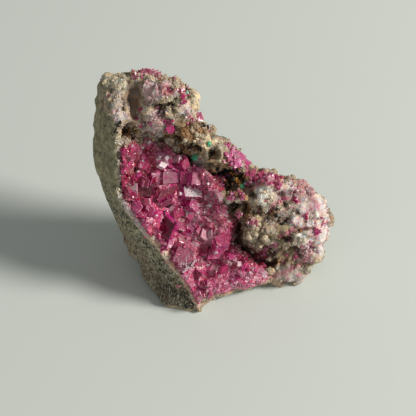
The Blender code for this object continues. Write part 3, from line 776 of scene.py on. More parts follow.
def makeCrumbs(name, rock, rng):
    # loose sugary grains of the weathered host, over the crumbly ground only
    look = crumbs[name]
    layers, bare = bareGround(rock)
    weights = np.clip((layered(layers, 1) - 0.12) / 0.2, 0, 1) * bare
    spots, facing, owner = scatterOn(rock, weights, look["count"], rng)
    sizes = randomSizes(look["sizes"], 2.2, rng, len(spots))
    shapes = randomTurns(len(spots), rng) * sizes[:, None, None]
    shapes *= rng.uniform(0.6, 1.2, (len(spots), 1, 3))
    if look["rounds"]:
        template = crumbTemplate(look["rounds"])
        bumps = rng.normal(size=(len(template["verts"]), 1)).clip(-2, 2)
        template["verts"] = template["verts"] * (1 + 0.13 * bumps)
    else:
        template = rhombTemplate()
    tint = np.empty(len(rock.vertices) * 4)
    rock.color_attributes["tint"].data.foreach_get("color", tint)
    tint = tint.reshape(-1, 4)[owner, :3]
    dark = tint.sum(axis=1) < 0.2
    bits = np.array(cavityBits)[rng.integers(0, len(cavityBits), len(spots))]
    tint[dark] = tint[dark] * 0.5 + bits[dark] * 0.5
    tint *= rng.uniform(0.75, 1.3, (len(spots), 1))
    return stoneGrains(name, template, spots + facing * sizes[:, None] * look["lift"], shapes, tint, 1.0)


sill = ((-2.4, -18.7), (0.8, -17.4), (4.7, -16.0), (9.2, -15.0), (12.6, -14.6))  # the crust's foot
rind = (  # the weathered rind's grains: colour, count, sizes, line, from and down to which height, how wide
    ((0.62, 0.58, 0.46), 150, (0.22, 0.62), brow, 12.8, 1.0, 0.55),
    ((0.74, 0.60, 0.58), 420, (0.14, 0.42), brow, 1.6, -5.6, 0.95),
    ((0.86, 0.62, 0.45), 420, (0.18, 0.48), brow, -5.0, -19.0, 0.80),
    ((0.90, 0.78, 0.68), 200, (0.16, 0.42), brow, -4.0, -19.0, 0.95),
    ((0.46, 0.33, 0.24), 320, (0.16, 0.36), sill, -14.6, -18.7, 0.45),
)


def makeRind(tree, rng):
    rows = []
    for colour, count, sizes, line, top, bottom, width in rind:
        for _ in range(count):
            v = rng.uniform(bottom, top)
            u = lineAt(line, v) + width * rng.uniform(-0.1, 1.0)
            if 1.4 * noise.noise(Vector((u, v, 3.0))) > 0.45:
                continue  # the rind is broken here and there
            place, outward = surfaceUnder(tree, u, v)
            size = randomSizes(sizes, 2, rng)
            shape = crumbShape(size, rng)
            rows.append((place + outward * size * 0.1, shape, np.array(colour) * rng.uniform(0.6, 1.25)))
    mesh = stoneGrains("rindGrains", crumbTemplate(), *zip(*rows), 0.5)
    mesh.shade_smooth()
    return mesh


druseZones = (  # the crust over the hollow: u, v, radius across, radius up, tone, dust, crystal size
    (-13.4, 10.4, 3.0, 2.3, 0.46, 0.16, 0.85), (-6.8, 10.4, 3.4, 1.7, 0.80, 0.25, 0.85),
    (-2.4, 7.9, 2.3, 1.9, 0.74, 0.40, 0.6), (-14.1, 4.9, 3.0, 3.2, 0.32, 0.22, 0.9),
    (-5.6, 4.9, 4.6, 3.4, 0.58, 0.06, 1.0), (1.9, 0.6, 2.7, 3.8, 0.70, 0.38, 0.55),
    (-3.4, -2.7, 3.6, 3.2, 0.74, 0.10, 0.7), (-4.9, -9.1, 2.8, 2.3, 0.64, 0.05, 0.8),
    (2.6, -12.0, 4.8, 2.6, 0.72, 0.0, 0.6), (-1.9, -16.1, 2.1, 1.5, 0.62, 0.22, 0.6),
    # painted shade: the zones at (8.2, -8.9) and (5.7, -5.6) give near-black crystals in the crevice beside
    # the lobe
    (5.4, -13.6, 4.0, 1.6, 0.70, 0.08, 0.55), (8.2, -8.9, 1.5, 1.3, 0.04, 0.3, 0.5),
    (5.7, -5.6, 1.0, 2.0, 0.04, 0.3, 0.5), (2.2, 5.2, 0.9, 1.2, 0.04, 0.5, 0.5),
    (-12.0, -1.5, 2.4, 2.0, 0.56, 0.08, 0.8),
)


def druseZone(places):
    # the tone, the dust and the crystal size that each place takes from the zones round it
    near = [bell(places, *zone[:4]) + 1e-6 for zone in druseZones]
    return [
        sum(share * zone[column] for share, zone in zip(near, druseZones)) / sum(near)
        for column in (4, 5, 6)
    ]


bedSkin = {
    "voxel": 0.24, "softenings": 8, "shrink": 0.45,
    "thin": (0.8, 2.4),  # toward the rind along the brow: how much, and over how wide a strip
    "sugar": ((0.9, 0.16), (0.5, 0.12)),  # size of a grain, and its height
}


def makeBed():
    # the crust's own bed, between and under its crystals
    mesh = softSkin("crystal_crust", bedSkin)
    places, normals = vertexPlaces(mesh), vertexNormals(mesh)
    push = np.full(len(places), -bedSkin["shrink"])
    sunk, reach = bedSkin["thin"]
    push -= sunk * np.clip(1.3 - pastBrow(places) / reach, 0, 1) * np.clip((3 - places[:, 1]) / 3, 0, 1)
    tone = 0.25 * noiseField(places, 2.4)
    for size, height in bedSkin["sugar"]:
        cells = noiseField(places, size, "VORONOI_F1")
        push -= height * cells
        # painted shade: the bed's tone deepens where its grains dip
        tone -= 0.12 * cells
    places = places + normals * push[:, None]
    # it dives under the rind at the brow and at the crust's top edge
    places[:, 2] -= 2.2 * np.clip((0.8 - pastBrow(places)) / 0.6, 0, 1)
    places[:, 2] -= 0.9 * np.clip((places[:, 1] - readOff(druse["brink"], places[:, 0])) / 0.5, 0, 1)
    moveVertices(mesh, places)
    zoneTone, dust, _ = druseZone(places)
    addFloats(mesh, "tone", np.clip(tone + zoneTone - 0.2, 0.03, 0.9))
    addFloats(mesh, "dust", np.clip(dust + 0.1, 0, 1))
    addFloats(mesh, "blush", 0.15)
    addFloats(mesh, "edge", 0.0)
    mesh.shade_flat()
    return mesh


# Large crystals, each set by the face that it shows: the face's middle (u, v, h), its two edges (u, v), its
# slope to the right and up, how deep the crystal runs, its tone, and its film of brown dust.
largeCrystals = (
    ((-6.9, 5.7, 3.6), (3.2, 0.25), (0.1, -2.35), (-0.25, 0.12), 2.6, 0.70, 0.35),
    ((-4.1, 5.7, 3.6), (2.3, 0.0), (0.1, -2.7), (-0.05, 0.12), 2.4, 0.36, 0.12),
    ((-2.0, 5.5, 4.3), (2.0, -0.2), (-0.3, -2.4), (-0.45, 0.10), 2.4, 0.64, 0.25),
    ((-2.9, 3.1, 2.6), (3.2, 0.0), (0.3, -2.0), (-0.55, 0.0), 2.2, 1.0, 0.0),
    ((-11.6, 3.2, 3.9), (2.9, 0.5), (-0.9, -2.5), (0.35, 0.10), 2.6, 0.16, 0.25),
    ((-7.6, 2.9, 4.1), (3.2, 1.2), (-0.5, -1.8), (0.15, -0.30), 2.4, 0.32, 0.35),
    ((-7.9, -3.6, 2.6), (2.3, -2.4), (-1.5, -3.1), (0.50, 0.15), 3.0, 0.02, 0.0),
    ((-4.6, -9.2, 0.8), (3.3, -1.2), (-1.2, -3.0), (-0.10, 0.10), 3.0, 0.66, 0.3),
    ((-4.5, -9.3, 0.86), (3.0, 1.0), (0.6, -3.1), (-0.10, 0.10), 3.0, 0.62, 0.3),
    ((-2.7, -10.3, 0.9), (0.9, 1.3), (0.30, -0.20), (-0.30, 0.00), 1.4, 0.98, 0.0),
    ((-3.8, -11.3, 0.8), (1.2, 0.7), (0.20, -0.35), (-0.30, 0.00), 1.4, 0.98, 0.0),
    ((2.7, -6.0, 0.1), (2.6, 0.6), (0.6, -2.0), (-0.12, -0.40), 2.4, 0.50, 0.08),
    ((1.6, -8.7, -3.0), (3.2, 0.3), (-0.4, -2.2), (-0.30, 0.10), 2.6, 0.54, 0.08),
    ((-8.5, 0.6, 3.4), (3.3, 1.4), (-0.4, -1.3), (0.20, 0.50), 2.0, 0.46, 0.3),
    ((-2.5, 0.5, 0.6), (1.5, -1.5), (-0.8, -1.5), (-0.60, 0.10), 1.8, 0.60, 0.08),
    ((-6.8, 7.8, 3.7), (2.5, -1.3), (0.4, -0.9), (-0.50, -0.60), 1.8, 0.50, 0.08),
    ((-4.1, 8.2, 4.2), (1.1, 1.1), (0.6, -1.6), (-0.60, 0.30), 1.6, 0.52, 0.08),
    ((-2.1, -12.7, -2.4), (1.2, -0.8), (-0.7, -1.2), (0.50, 0.20), 1.6, 0.10, 0.08),
    ((-10.1, -4.1, 3.5), (1.4, -1.7), (-0.9, -0.8), (0.40, 0.00), 1.6, 0.58, 0.08),
    ((-7.0, -6.7, 1.0), (1.2, 0.6), (-0.5, -1.8), (-0.80, 0.00), 1.6, 0.64, 0.08),
    ((-14.0, 6.9, 3.4), (1.6, 0.5), (0.5, -1.5), (-0.20, 0.20), 1.8, 0.44, 0.08),
    ((-13.2, 4.9, 3.4), (1.5, 0.8), (-0.6, -1.4), (0.30, 0.00), 1.8, 0.56, 0.08),
    ((-15.0, 4.0, 3.8), (1.4, 0.2), (0.2, -1.3), (-0.10, 0.10), 1.6, 0.36, 0.08),
    ((-12.0, 6.8, 3.2), (1.7, -0.5), (0.5, -1.3), (0.10, 0.30), 1.8, 0.34, 0.08),
    ((-10.4, 8.3, 3.3), (1.8, -0.4), (0.5, -1.8), (0.20, 0.20), 1.8, 0.30, 0.08),
    ((-13.2, 9.2, 3.7), (1.5, 0.6), (0.5, -1.4), (-0.20, 0.10), 1.8, 0.38, 0.08),
    ((-5.6, -0.9, 0.6), (2.0, 0.6), (0.3, -1.6), (-0.10, 0.20), 1.8, 0.50, 0.08),
    ((-5.2, -3.4, 0.2), (1.7, -0.4), (0.5, -1.7), (-0.30, 0.10), 1.8, 0.60, 0.08),
    ((3.2, -11.8, -2.6), (1.5, 0.5), (-0.4, -1.5), (-0.20, 0.20), 1.6, 0.40, 0.08),
    ((0.6, -14.4, -2.2), (1.6, -0.3), (0.2, -1.3), (-0.10, 0.10), 1.6, 0.58, 0.08),
    ((-0.9, -8.0, -1.8), (1.6, 0.3), (-0.3, -1.8), (0.40, 0.00), 1.6, 0.28, 0.08),
    ((4.6, -9.4, -2.6), (1.4, -0.4), (0.3, -1.3), (-0.30, 0.10), 1.6, 0.50, 0.08),
)
growth = {
    "skew": 0.22,  # a rhomb leans instead of running straight in
    "steps": 4,  # small parallel crystals on each large one
    "stepSizes": (0.16, 0.42),
    "largeCut": {"borders": (0.06, 0.10), "bevel": 0.085, "cuts": 2},
    "stepCut": {"borders": (0.10,), "bevel": 0.06, "cuts": 0},
}


def blockShape(edgeA, edgeB, slope, depth):
    a = Vector((*edgeA, edgeA[0] * slope[0] + edgeA[1] * slope[1]))
    b = Vector((*edgeB, edgeB[0] * slope[0] + edgeB[1] * slope[1]))
    out = b.cross(a).normalized()
    if out.z < 0:
        out.negate()
    c = (out + (a.normalized() - b.normalized()) * growth["skew"]) * depth
    return a, b, c


def makeLargeCrystals(rng):
    # the large crystals, then the small steps that grew parallel to each on its edges and flanks
    grown = {"largeCrystals": (growth["largeCut"], []), "stepCrystals": (growth["stepCut"], [])}
    for middle, edgeA, edgeB, slope, depth, tone, film in largeCrystals:
        a, b, c = blockShape(edgeA, edgeB, slope, depth)
        shape = np.array((a, b, c) if a.cross(b).dot(c) > 0 else (b, a, c)).T
        centre = np.array(Vector(middle) - c / 2)
        blush, side = rng.uniform(0.25, 0.75), rng.uniform(0.36, 0.54)
        grown["largeCrystals"][1].append((centre, shape, tone, side, blush, film))
        for _ in range(growth["steps"]):
            spot = rng.uniform(-0.5, 0.5, 3)
            spot[rng.integers(0, 2)] = rng.choice((-0.5, 0.5))
            spot[2] = rng.uniform(-0.3, 0.3)
            small = shape * rng.uniform(*growth["stepSizes"]) * np.array((1, 1, rng.uniform(0.6, 1.0)))
            own = np.clip(tone + rng.normal(0.02, 0.12), 0.05, 0.95)
            grown["stepCrystals"][1].append((centre + shape @ spot, small, own, own * 0.8, blush, film))
    meshes = {}
    for name, (look, rows) in grown.items():
        template = rhombTemplate(**look)
        centres, shapes, tones, sides, blushes, films = (np.array(column) for column in zip(*rows))
        mesh = joinedCopies(name, template, centres, shapes)
        waver(mesh, 1.1, 0.13)
        # painted light: the side faces get a tone and a more magenta blush of their own, apart from the shown
        # face, for light passing through the crystal
        perCopy(mesh, "tone", tones, template, sides)
        perCopy(mesh, "blush", blushes, template, np.clip(blushes + 0.45, 0, 1))
        perCopy(mesh, "dust", films * 1.6, template, films * 0.5)
        meshes[name] = mesh
    return meshes


def overLarge(places, reach):
    # places that would bury a large crystal's face
    buried = np.zeros(len(places), bool)
    for middle, edgeA, edgeB, *_ in largeCrystals:
        offset = places[:, :2] - np.array(middle[:2])
        across = np.linalg.inv(np.array((edgeA, edgeB)).T)
        s, t = (across @ offset.T)
        buried |= (abs(s) < reach) & (abs(t) < reach)
    return buried


druse = {
    "families": 110,  # neighbours that grew nearly parallel
    "stray": 0.35,  # the share that grew any way
    "wander": 0.22,  # how far one turns from its family, in radians
    "kinds": {  # count, sizes, how far each stands out of the bed, smallness, bevel, reach kept off the large
        "mediumCrystals": (1250, (0.7, 2.3), -0.14, 2.2, 0.07, 0.66),
        "sugarCrystals": (10000, (0.22, 0.62), 0.06, 2.4, 0.0, 0.47),
        "fineSugar": (11000, (0.14, 0.32), 0.14, 1.5, 0.0, 0.43),
    },
    "speckle": 0.085,  # how much a crystal's tone strays from its neighbours'
    "odd": (0.03, 0.08),  # the share of frosted grains, and of deep red ones
    "fringe": 0.6,  # how far past the crust's edge the last grains lie, mm
    "rind": (  # v, and the width that stays bare
        (-19, 0.6), (-12, 0.8), (-8, 1.1), (-5, 1.15), (-1, 0.95), (2, 0.8), (3, 0.5), (13, 0.4),
    ),
    "brink": (  # u, and how high the crystals reach
        (-17.4, 9.9), (-16.5, 10.1), (-15.4, 11.3), (-14.6, 10.9), (-13.7, 12.0), (-12.4, 11.5),
        (-11.1, 12.4), (-9.9, 11.6), (-8.9, 10.8), (-7.6, 11.2), (-6.2, 11.0), (-5.1, 10.1), (-4.0, 20.0),
    ),
    "sill": (  # u, and how low the crystals reach
        (-3, -18.4), (0.8, -16.9), (4.7, -15.5), (9.2, -14.7), (13, -14.4),
    ),
}


def crustSpots(bed, trees, count, rng):
    # half the places by the bed's area, half evenly over what shows from the front, thinning at the fringe
    weights = np.clip(vertexNormals(bed)[:, 2] + 0.35, 0, 1)
    spots, facing, _ = scatterOn(bed, weights, count // 2, rng)
    outline = np.array(crustEdge)
    low, high = outline.min(axis=0) - druse["fringe"], outline.max(axis=0) + druse["fringe"]
    picks = rng.uniform(low, high, (count, 2))
    away = nearLine(picks, crustEdge + crustEdge[:1])
    away[inside(crustEdge, picks)] *= -1
    bare = readOff(druse["rind"], picks[:, 1])
    kept = rng.random(len(picks)) * druse["fringe"] > away
    kept &= pastBrow(picks) > bare + 0.3 * rng.random(len(picks))
    kept &= picks[:, 1] > readOff(druse["sill"], picks[:, 0])
    kept &= picks[:, 1] < readOff(druse["brink"], picks[:, 0]) + 0.1
    more = [topmost(trees, u, v) for u, v in picks[kept]]
    clear = spots[:, 1] > readOff(druse["sill"], spots[:, 0])
    clear &= pastBrow(spots) > readOff(druse["rind"], spots[:, 1]) - 0.1
    clear &= spots[:, 1] < readOff(druse["brink"], spots[:, 0]) + 0.2 * rng.random(len(spots))
    places = np.concatenate([spots[clear], [hit[0][:] for hit in more]])
    return places, np.concatenate([facing[clear], [hit[1][:] for hit in more]])


def familyTurns(spots, rng):
    picks = rng.choice(len(spots), druse["families"], replace=False)
    seeds, seedTurns = spots[picks], randomTurns(druse["families"], rng)
    nearest = np.array([np.argmin(((seeds - spot) ** 2).sum(axis=1)) for spot in spots])
    x, y, z = rng.normal(0, druse["wander"], (len(spots), 3)).T
    zero = np.zeros(len(spots))
    turns = (stacked((zero, -z, y), (z, zero, -x), (-y, x, zero)) + np.eye(3)) @ seedTurns[nearest]
    stray = rng.random(len(spots)) < druse["stray"]
    turns[stray] = randomTurns(int(stray.sum()), rng)
    return turns


def makeDruse(name, bed, trees, rng):
    count, limits, lift, smallness, bevel, reach = druse["kinds"][name]
    spots, facing = crustSpots(bed, trees, count, rng)
    kept = ~overLarge(spots, reach)
    spots, facing = spots[kept], facing[kept]
    tone, dust, grain = druseZone(spots)
    sizes = randomSizes(limits, smallness, rng, len(spots))
    if name == "mediumCrystals":
        sizes *= grain
        room = pastBrow(spots) - readOff(druse["rind"], spots[:, 1])
        sizes = np.minimum(sizes, np.clip(0.3 + room, 0.3, None))
    shapes = familyTurns(spots, rng) @ rhombShape
    shapes = shapes * sizes[:, None, None] * rng.uniform(0.75, 1.25, (len(spots), 1, 3))
    template = rhombTemplate(bevel)
    mesh = joinedCopies(name, template, spots + facing * sizes[:, None] * lift, shapes)
    waver(mesh, 0.6, 0.07)
    tone = tone + 0.26 * noiseField(spots, 1.5) + rng.normal(0, druse["speckle"], len(spots))
    lot = rng.random(len(spots))
    pale, deep = druse["odd"]
    tone[lot < pale] = rng.uniform(0.85, 1.0, int((lot < pale).sum()))
    tone[lot > 1 - deep] -= 0.3
    crystalLayers(
        mesh, template, tone=np.clip(tone, 0.03, 0.97), dust=dust * rng.uniform(0.0, 1.8, len(spots)),
        blush=0.3 + 0.75 * noiseField(spots + 60, 2.2) + rng.normal(0, 0.15, len(spots)))
    return mesh


fringe = {  # tan, frosted and pink grains that lie over the crust's top edge
    "count": 900, "sizes": (0.16, 0.55), "across": (-16.4, -5.4), "above": 1.9, "below": 0.35,
    "tints": (
        (0.58, 0.50, 0.38), (0.66, 0.55, 0.50), (0.50, 0.38, 0.27), (0.30, 0.19, 0.12), (0.62, 0.34, 0.38),
    ),
}


def makeFringe(trees, rng):
    rows = []
    for _ in range(fringe["count"]):
        u = rng.uniform(*fringe["across"])
        v = readOff(druse["brink"], u) + rng.uniform(-fringe["below"], fringe["above"])
        place, outward = topmost(trees, u, v)
        size = randomSizes(fringe["sizes"], 2, rng)
        shape = crumbShape(size, rng)
        patch = 2.5 * noise.noise(Vector((u, v, 7.0))) + rng.normal(2.0, 0.9)
        tint = fringe["tints"][int(np.clip(patch, 0, len(fringe["tints"]) - 1))]
        rows.append((place + outward * size * 0.15, shape, np.array(tint) * rng.uniform(0.7, 1.25)))
    return stoneGrains("fringeGrains", crumbTemplate(), *zip(*rows), 0.6)


frosting = {
    "count": 8000, "sizes": (0.10, 0.26), "patch": 1.5, "bare": 0.24,
    "white": 0.9,  # crystals paler than this are coated whole
    "clean": 0.2,  # and those deeper than this stay clean
}


def makeFrosting(trees, rng):
    # the last growth: tiny pale grains in patches over the faces of the larger crystals
    outline = np.array(crustEdge)
    picks = rng.uniform(outline.min(axis=0), outline.max(axis=0), (frosting["count"], 2))
    hits = [topmost(trees, u, v) for u, v in picks[inside(crustEdge, picks)]]
    spots, facing = (np.array([hit[side][:] for hit in hits]) for side in (0, 1))
    whole, clean = np.zeros((2, len(spots)), bool)
    for middle, *_, tone, _ in largeCrystals:
        near = np.hypot(spots[:, 0] - middle[0], spots[:, 1] - middle[1])
        whole |= (near < 1.7) & (tone > frosting["white"])
        clean |= (near < 2.6) & (tone < frosting["clean"])
    kept = ((noiseField(spots, frosting["patch"]) > frosting["bare"]) & ~clean) | whole
    spots, facing, whole = spots[kept], facing[kept], whole[kept]
    sizes = randomSizes(frosting["sizes"], 2, rng, len(spots))
    template = rhombTemplate()
    shapes = randomTurns(len(spots), rng) @ rhombShape * sizes[:, None, None]
    mesh = joinedCopies("frosting", template, spots + facing * sizes[:, None] * 0.1, shapes)
    tone, dust, _ = druseZone(spots)
    crystalLayers(
        mesh, template, tone=(tone + 0.3 * whole + rng.normal(0.16, 0.16, len(spots))).clip(0.2, 1),
        dust=dust * rng.uniform(0, 1, len(spots)) * ~whole, blush=rng.uniform(0, 0.5, len(spots)))
    return mesh


paleLump = {
    "voxel": 0.14, "softenings": 5, "shrink": 0.30,
    "squeeze": (-8.6, 0.80),  # its pivot and share: this keeps the groove beside it open
    "grain": ((1.3, 0.30), (0.6, 0.13)),
}


def makePaleLump():
    # pinkish white calcite beside the groove, its rhombs grown into one another
    mesh = softSkin("pale_crystals", paleLump)
    places, normals = vertexPlaces(mesh), vertexNormals(mesh)
    push = np.full(len(places), -paleLump["shrink"])
    for size, height in paleLump["grain"]:
        push += height * noiseField(places, size)
    push -= 0.12 * noiseField(places, 0.8, "VORONOI_F1")
    places = places + normals * push[:, None]
    pivot, share = paleLump["squeeze"]
    places[:, 0] = pivot + (places[:, 0] - pivot) * share
    moveVertices(mesh, places)
    streak = noiseField(places, 0.45, stretch=(3, 1, 1))
    # the film thickens toward the lump's lower end, painted shade there along with its dust
    foot = np.clip((20.8 - places[:, 1]) / 1.6, 0, 1)
    addFloats(mesh, "tone", np.clip(0.90 + 0.16 * streak, 0, 1))
    addFloats(mesh, "dust", np.clip(0.42 + 0.6 * foot + 0.5 * noiseField(places, 0.8), 0, 1))
    addFloats(mesh, "blush", 0.0)
    addFloats(mesh, "edge", 0.0)
    mesh.shade_smooth()
    return mesh


# Groups of rhombs that grew elsewhere: the node each stands for, and its crystals (u, v, edge, turn, lean).
rhombGroups = {
    "rimCrystals": {
        "stands": "rim_crystals", "tone": 0.66, "blush": 0.75, "dust": 0.1, "scale": 0.86, "young": 12,
        "rows": (
            (3.4, 11.5, 1.7, 20, 40), (4.5, 10.6, 2.2, 78, 38), (5.6, 9.6, 2.5, 45, 62),
            (6.8, 8.5, 2.6, 35, 60), (5.2, 8.4, 2.0, 98, 38), (3.9, 9.5, 1.7, 15, 50),
        ),
    },
    "crestCrystals": {
        "stands": "crest_crystals", "tone": 0.72, "blush": 0.3, "dust": 0.3, "scale": 0.45, "young": 30,
        "rows": (
            (-12.2, 24.5, 1.2, 10, 40), (-10.8, 24.7, 1.3, 50, 60), (-9.3, 24.4, 1.2, 25, 35),
            (-13.5, 24.2, 1.0, 70, 50),
        ),
    },
    "lobeCrystals": {
        "stands": "lobe_crystals", "tone": 0.54, "blush": 0.15, "dust": 0.3, "scale": 0.72, "young": 12,
        "rows": (
            (8.3, 6.6, 1.8, 30, 45), (9.8, 6.0, 2.1, 70, 35), (11.5, 5.7, 2.0, 32, 38),
            (13.1, 5.1, 1.7, 50, 30),
        ),
    },
    "singleCrystal1": {
        "stands": "single_crystal_1", "tone": 0.50, "blush": 0.5, "dust": 0.0, "scale": 0.62, "young": 4,
        "rows": (
            (-4.5, 20.2, 1.5, 25, 40),
        ),
    },
    "singleCrystal2": {
        "stands": "single_crystal_2", "tone": 0.48, "blush": 0.8, "dust": 0.0, "scale": 0.78, "young": 3,
        "rows": (
            (-1.7, 16.5, 1.5, 60, 30),
        ),
    },
    "singleCrystal3": {
        "stands": "single_crystal_3", "tone": 0.48, "blush": 0.4, "dust": 0.1, "scale": 0.85, "young": 8,
        "rows": (
            (-6.9, 14.6, 1.8, 10, 55),
        ),
    },
    "singleCrystal4": {
        "stands": "single_crystal_4", "tone": 0.66, "blush": 0.3, "dust": 0.0, "scale": 0.85, "young": 3,
        "rows": (
            (12.9, -7.1, 1.5, 45, 35),
        ),
    },
}


def rhombPose(tree, u, v, edge, turn, lean):
    place, normal = surfaceUnder(tree, u, v)
    outward = (normal + viewDirection).normalized()
    stand = outward.to_track_quat("Z", "Y").to_matrix()
    pose = Matrix.Rotation(math.radians(turn), 3, "Z") @ Matrix.Rotation(math.radians(lean), 3, "X")
    return place, np.array(stand @ pose) @ rhombShape * edge


def makeGroup(name, tree, rng):
    # the group's main crystals, with young ones crowding their feet, most of them parallel to the old
    look = rhombGroups[name]
    template = rhombTemplate(0.06, (0.09,), 1)
    rows = []
    for u, v, edge, turn, lean in look["rows"]:
        place, shape = rhombPose(tree, u, v, edge * look["scale"], turn, lean)
        rows.append((place, shape))
        for _ in range(look["young"]):
            angle, away = rng.uniform(0, 2 * math.pi), edge * rng.uniform(0.3, 0.75)
            foot, outward = surfaceUnder(tree, u + away * math.cos(angle), v + away * math.sin(angle))
            if (place - foot).length < edge * 1.1:
                size = rng.uniform(0.18, 0.45)
                free = randomTurns(1, rng)[0] @ rhombShape * edge
                own = (shape if rng.random() < 0.6 else free) * size
                rows.append((foot + outward * edge * size * 0.3, own))
    mesh = joinedCopies(name, template, *zip(*rows))
    waver(mesh, 0.8, 0.08)
    crystalLayers(
        mesh, template,
        tone=look["tone"] + rng.normal(0, 0.10, len(rows)),
        blush=look["blush"] + rng.normal(0, 0.15, len(rows)),
        dust=look["dust"] * rng.uniform(0.3, 1.5, len(rows)),
    )
    return mesh


def makeGrain(u, v, radius, tree):
    # a botryoidal lump: a ball crowded with smaller balls
    place, _ = surfaceUnder(tree, u, v)
    bm = bmesh.new()
    bmesh.ops.create_icosphere(bm, subdivisions=4, radius=radius * 0.8, matrix=Matrix.Translation(place))
    for vert in bm.verts:
        out = (vert.co - place).normalized()
        vert.co += out * radius * 0.28 * -noise.noise(vert.co / (radius * 0.55), noise_basis="VORONOI_F1")
    mesh = meshFrom("malachite", bm)
    mesh.shade_smooth()
    return mesh


warts = {  # knobs of tan calcite on the lobe and the arm's edge, each a few balls
    "balls": 5, "scatter": 0.36, "sizes": (0.6, 1.15), "breadth": (0.8, 1.15), "shades": (0.8, 1.35),
    "places": (  # u, v, radius
        (8.0, -5.2, 1.1), (9.4, -4.4, 1.0), (10.6, -5.6, 1.2), (9.2, -3.2, 0.9), (11.2, -4.4, 0.9),
        (8.4, -7.0, 1.0), (7.5, -4.0, 0.7), (10.0, -6.8, 0.8), (-2.0, 13.6, 0.8), (-4.0, 12.3, 0.8),
        (-3.0, 14.4, 0.7), (-5.4, 18.2, 0.8), (-2.5, 12.0, 0.6), (-15.6, 15.0, 0.5), (12.4, -8.0, 0.6),
        (12.0, -10.2, 0.6), (-0.9, 12.8, 0.7),
    ),
}


def makeWarts(tree, rng):
    template = crumbTemplate(3)
    rows = []
    for u, v, radius in warts["places"]:
        for _ in range(warts["balls"]):
            right, up = rng.normal(0, radius * warts["scatter"], 2)
            place, outward = surfaceUnder(tree, u + right, v + up)
            size = radius * rng.uniform(*warts["sizes"])
            shape = crumbShape(size, rng, warts["breadth"])
            tint = np.array(stoneKinds["tan"][0]) * rng.uniform(*warts["shades"])
            rows.append((place + outward * size * 0.15, shape, tint))
    centres, shapes, tints = (np.array(column) for column in zip(*rows))
    mesh = joinedCopies("tanWarts", template, centres, shapes)
    places = vertexPlaces(mesh)
    grain = noiseField(places, 0.3, "VORONOI_F1")
    each = len(template["verts"])
    offsets = places - np.repeat(centres, each, axis=0)
    moveVertices(mesh, places + offsets * (-0.22 * grain)[:, None])
    # painted shade: each knob is darker toward its base on the rock, and in the dips between its little cells
    foot = np.clip(0.75 + offsets[:, 2] / 0.9, 0.3, 1.1)
    paint(mesh, np.repeat(tints, each, axis=0) * ((1 - 0.35 * grain) * foot)[:, None])
    addFloats(mesh, "crumbly", 0.6)
    mesh.shade_smooth()
    return mesh


glints = {  # bright facets that happen to throw the key light at the viewer, coloured near white as a painted glint
    "tone": 0.96, "blush": 0.5, "lift": 0.35,
    "places": (  # u, v, size
        (-10.9, 12.2, 0.6), (-12.2, 11.3, 0.55), (2.3, 2.6, 0.55), (-0.4, -1.9, 0.45), (-3.1, -4.8, 0.6),
        (1.3, -4.6, 0.5), (0.4, -6.3, 0.35), (-3.2, -7.2, 0.5), (2.7, -10.7, 0.4), (-4.2, -11.9, 0.5),
        (-5.9, -11.9, 0.4), (-9.0, 9.5, 0.5), (-4.0, 16.5, 0.4), (-3.4, 10.9, 0.4), (0.0, 4.5, 0.4),
        (6.2, -3.9, 0.5), (18.4, 4.2, 0.4), (-8.6, 7.9, 1.3), (-7.8, 9.3, 0.8), (-14.0, 2.0, 0.35),
        (-9.6, -1.4, 0.35),
    ),
}


def makeGlints(trees, towardLight, rng):
    half = (towardLight.normalized() + viewDirection).normalized()
    rows = []
    for u, v, size in glints["places"]:
        place, _ = topmost(trees, u, v)
        spin = Matrix.Rotation(rng.uniform(0, math.pi), 3, "Z")
        skew = Matrix(((1, 0.25, 0), (0, rng.uniform(0.7, 1.0), 0), (0, 0, 1)))
        shape = np.array(half.to_track_quat("Z", "Y").to_matrix() @ spin @ skew) * size
        rows.append((place + viewDirection * size * glints["lift"], shape))
    mesh = joinedCopies("glintCrystals", rhombTemplate(), *zip(*rows))
    for name in ("tone", "blush"):
        addFloats(mesh, name, glints[name], "FACE")
    addFloats(mesh, "dust", 0.0, "FACE")
    return mesh


looseCrystals = {
    "count": 1500, "sizes": (0.12, 0.40),
    "pale": 0.68,  # the share of them that is nearly white
    "ground": {"pinkDust": 1.0, "frost": 0.25, "maroon": 0.1},  # how thick they lie on each kind
    "elsewhere": 0.05,
}


def makeLooseCrystals(rock, rng):
    # pale and pink grains sprinkled over the bare rock, thickest where the pink dust is
    layers, bare = bareGround(rock)
    pink = np.zeros(len(bare))
    for kind, weight in layers:
        share = looseCrystals["ground"].get(kind, looseCrystals["elsewhere"])
        pink = np.maximum(pink * (1 - weight), 0) + weight * share
    spots, facing, _ = scatterOn(rock, pink * bare, looseCrystals["count"], rng)
    sizes = randomSizes(looseCrystals["sizes"], 2, rng, len(spots))
    template = rhombTemplate()
    shapes = randomTurns(len(spots), rng) @ rhombShape * sizes[:, None, None]
    mesh = joinedCopies("looseCrystals", template, spots + facing * sizes[:, None] * 0.2, shapes)
    pale = rng.random(len(spots)) < looseCrystals["pale"]
    tone = np.where(pale, rng.normal(0.93, 0.06, len(spots)), rng.normal(0.66, 0.14, len(spots)))
    crystalLayers(mesh, template, tone=np.clip(tone, 0.1, 1), blush=rng.uniform(0, 0.6, len(spots)),
                  dust=rng.uniform(0, 0.5, len(spots)))
    return mesh


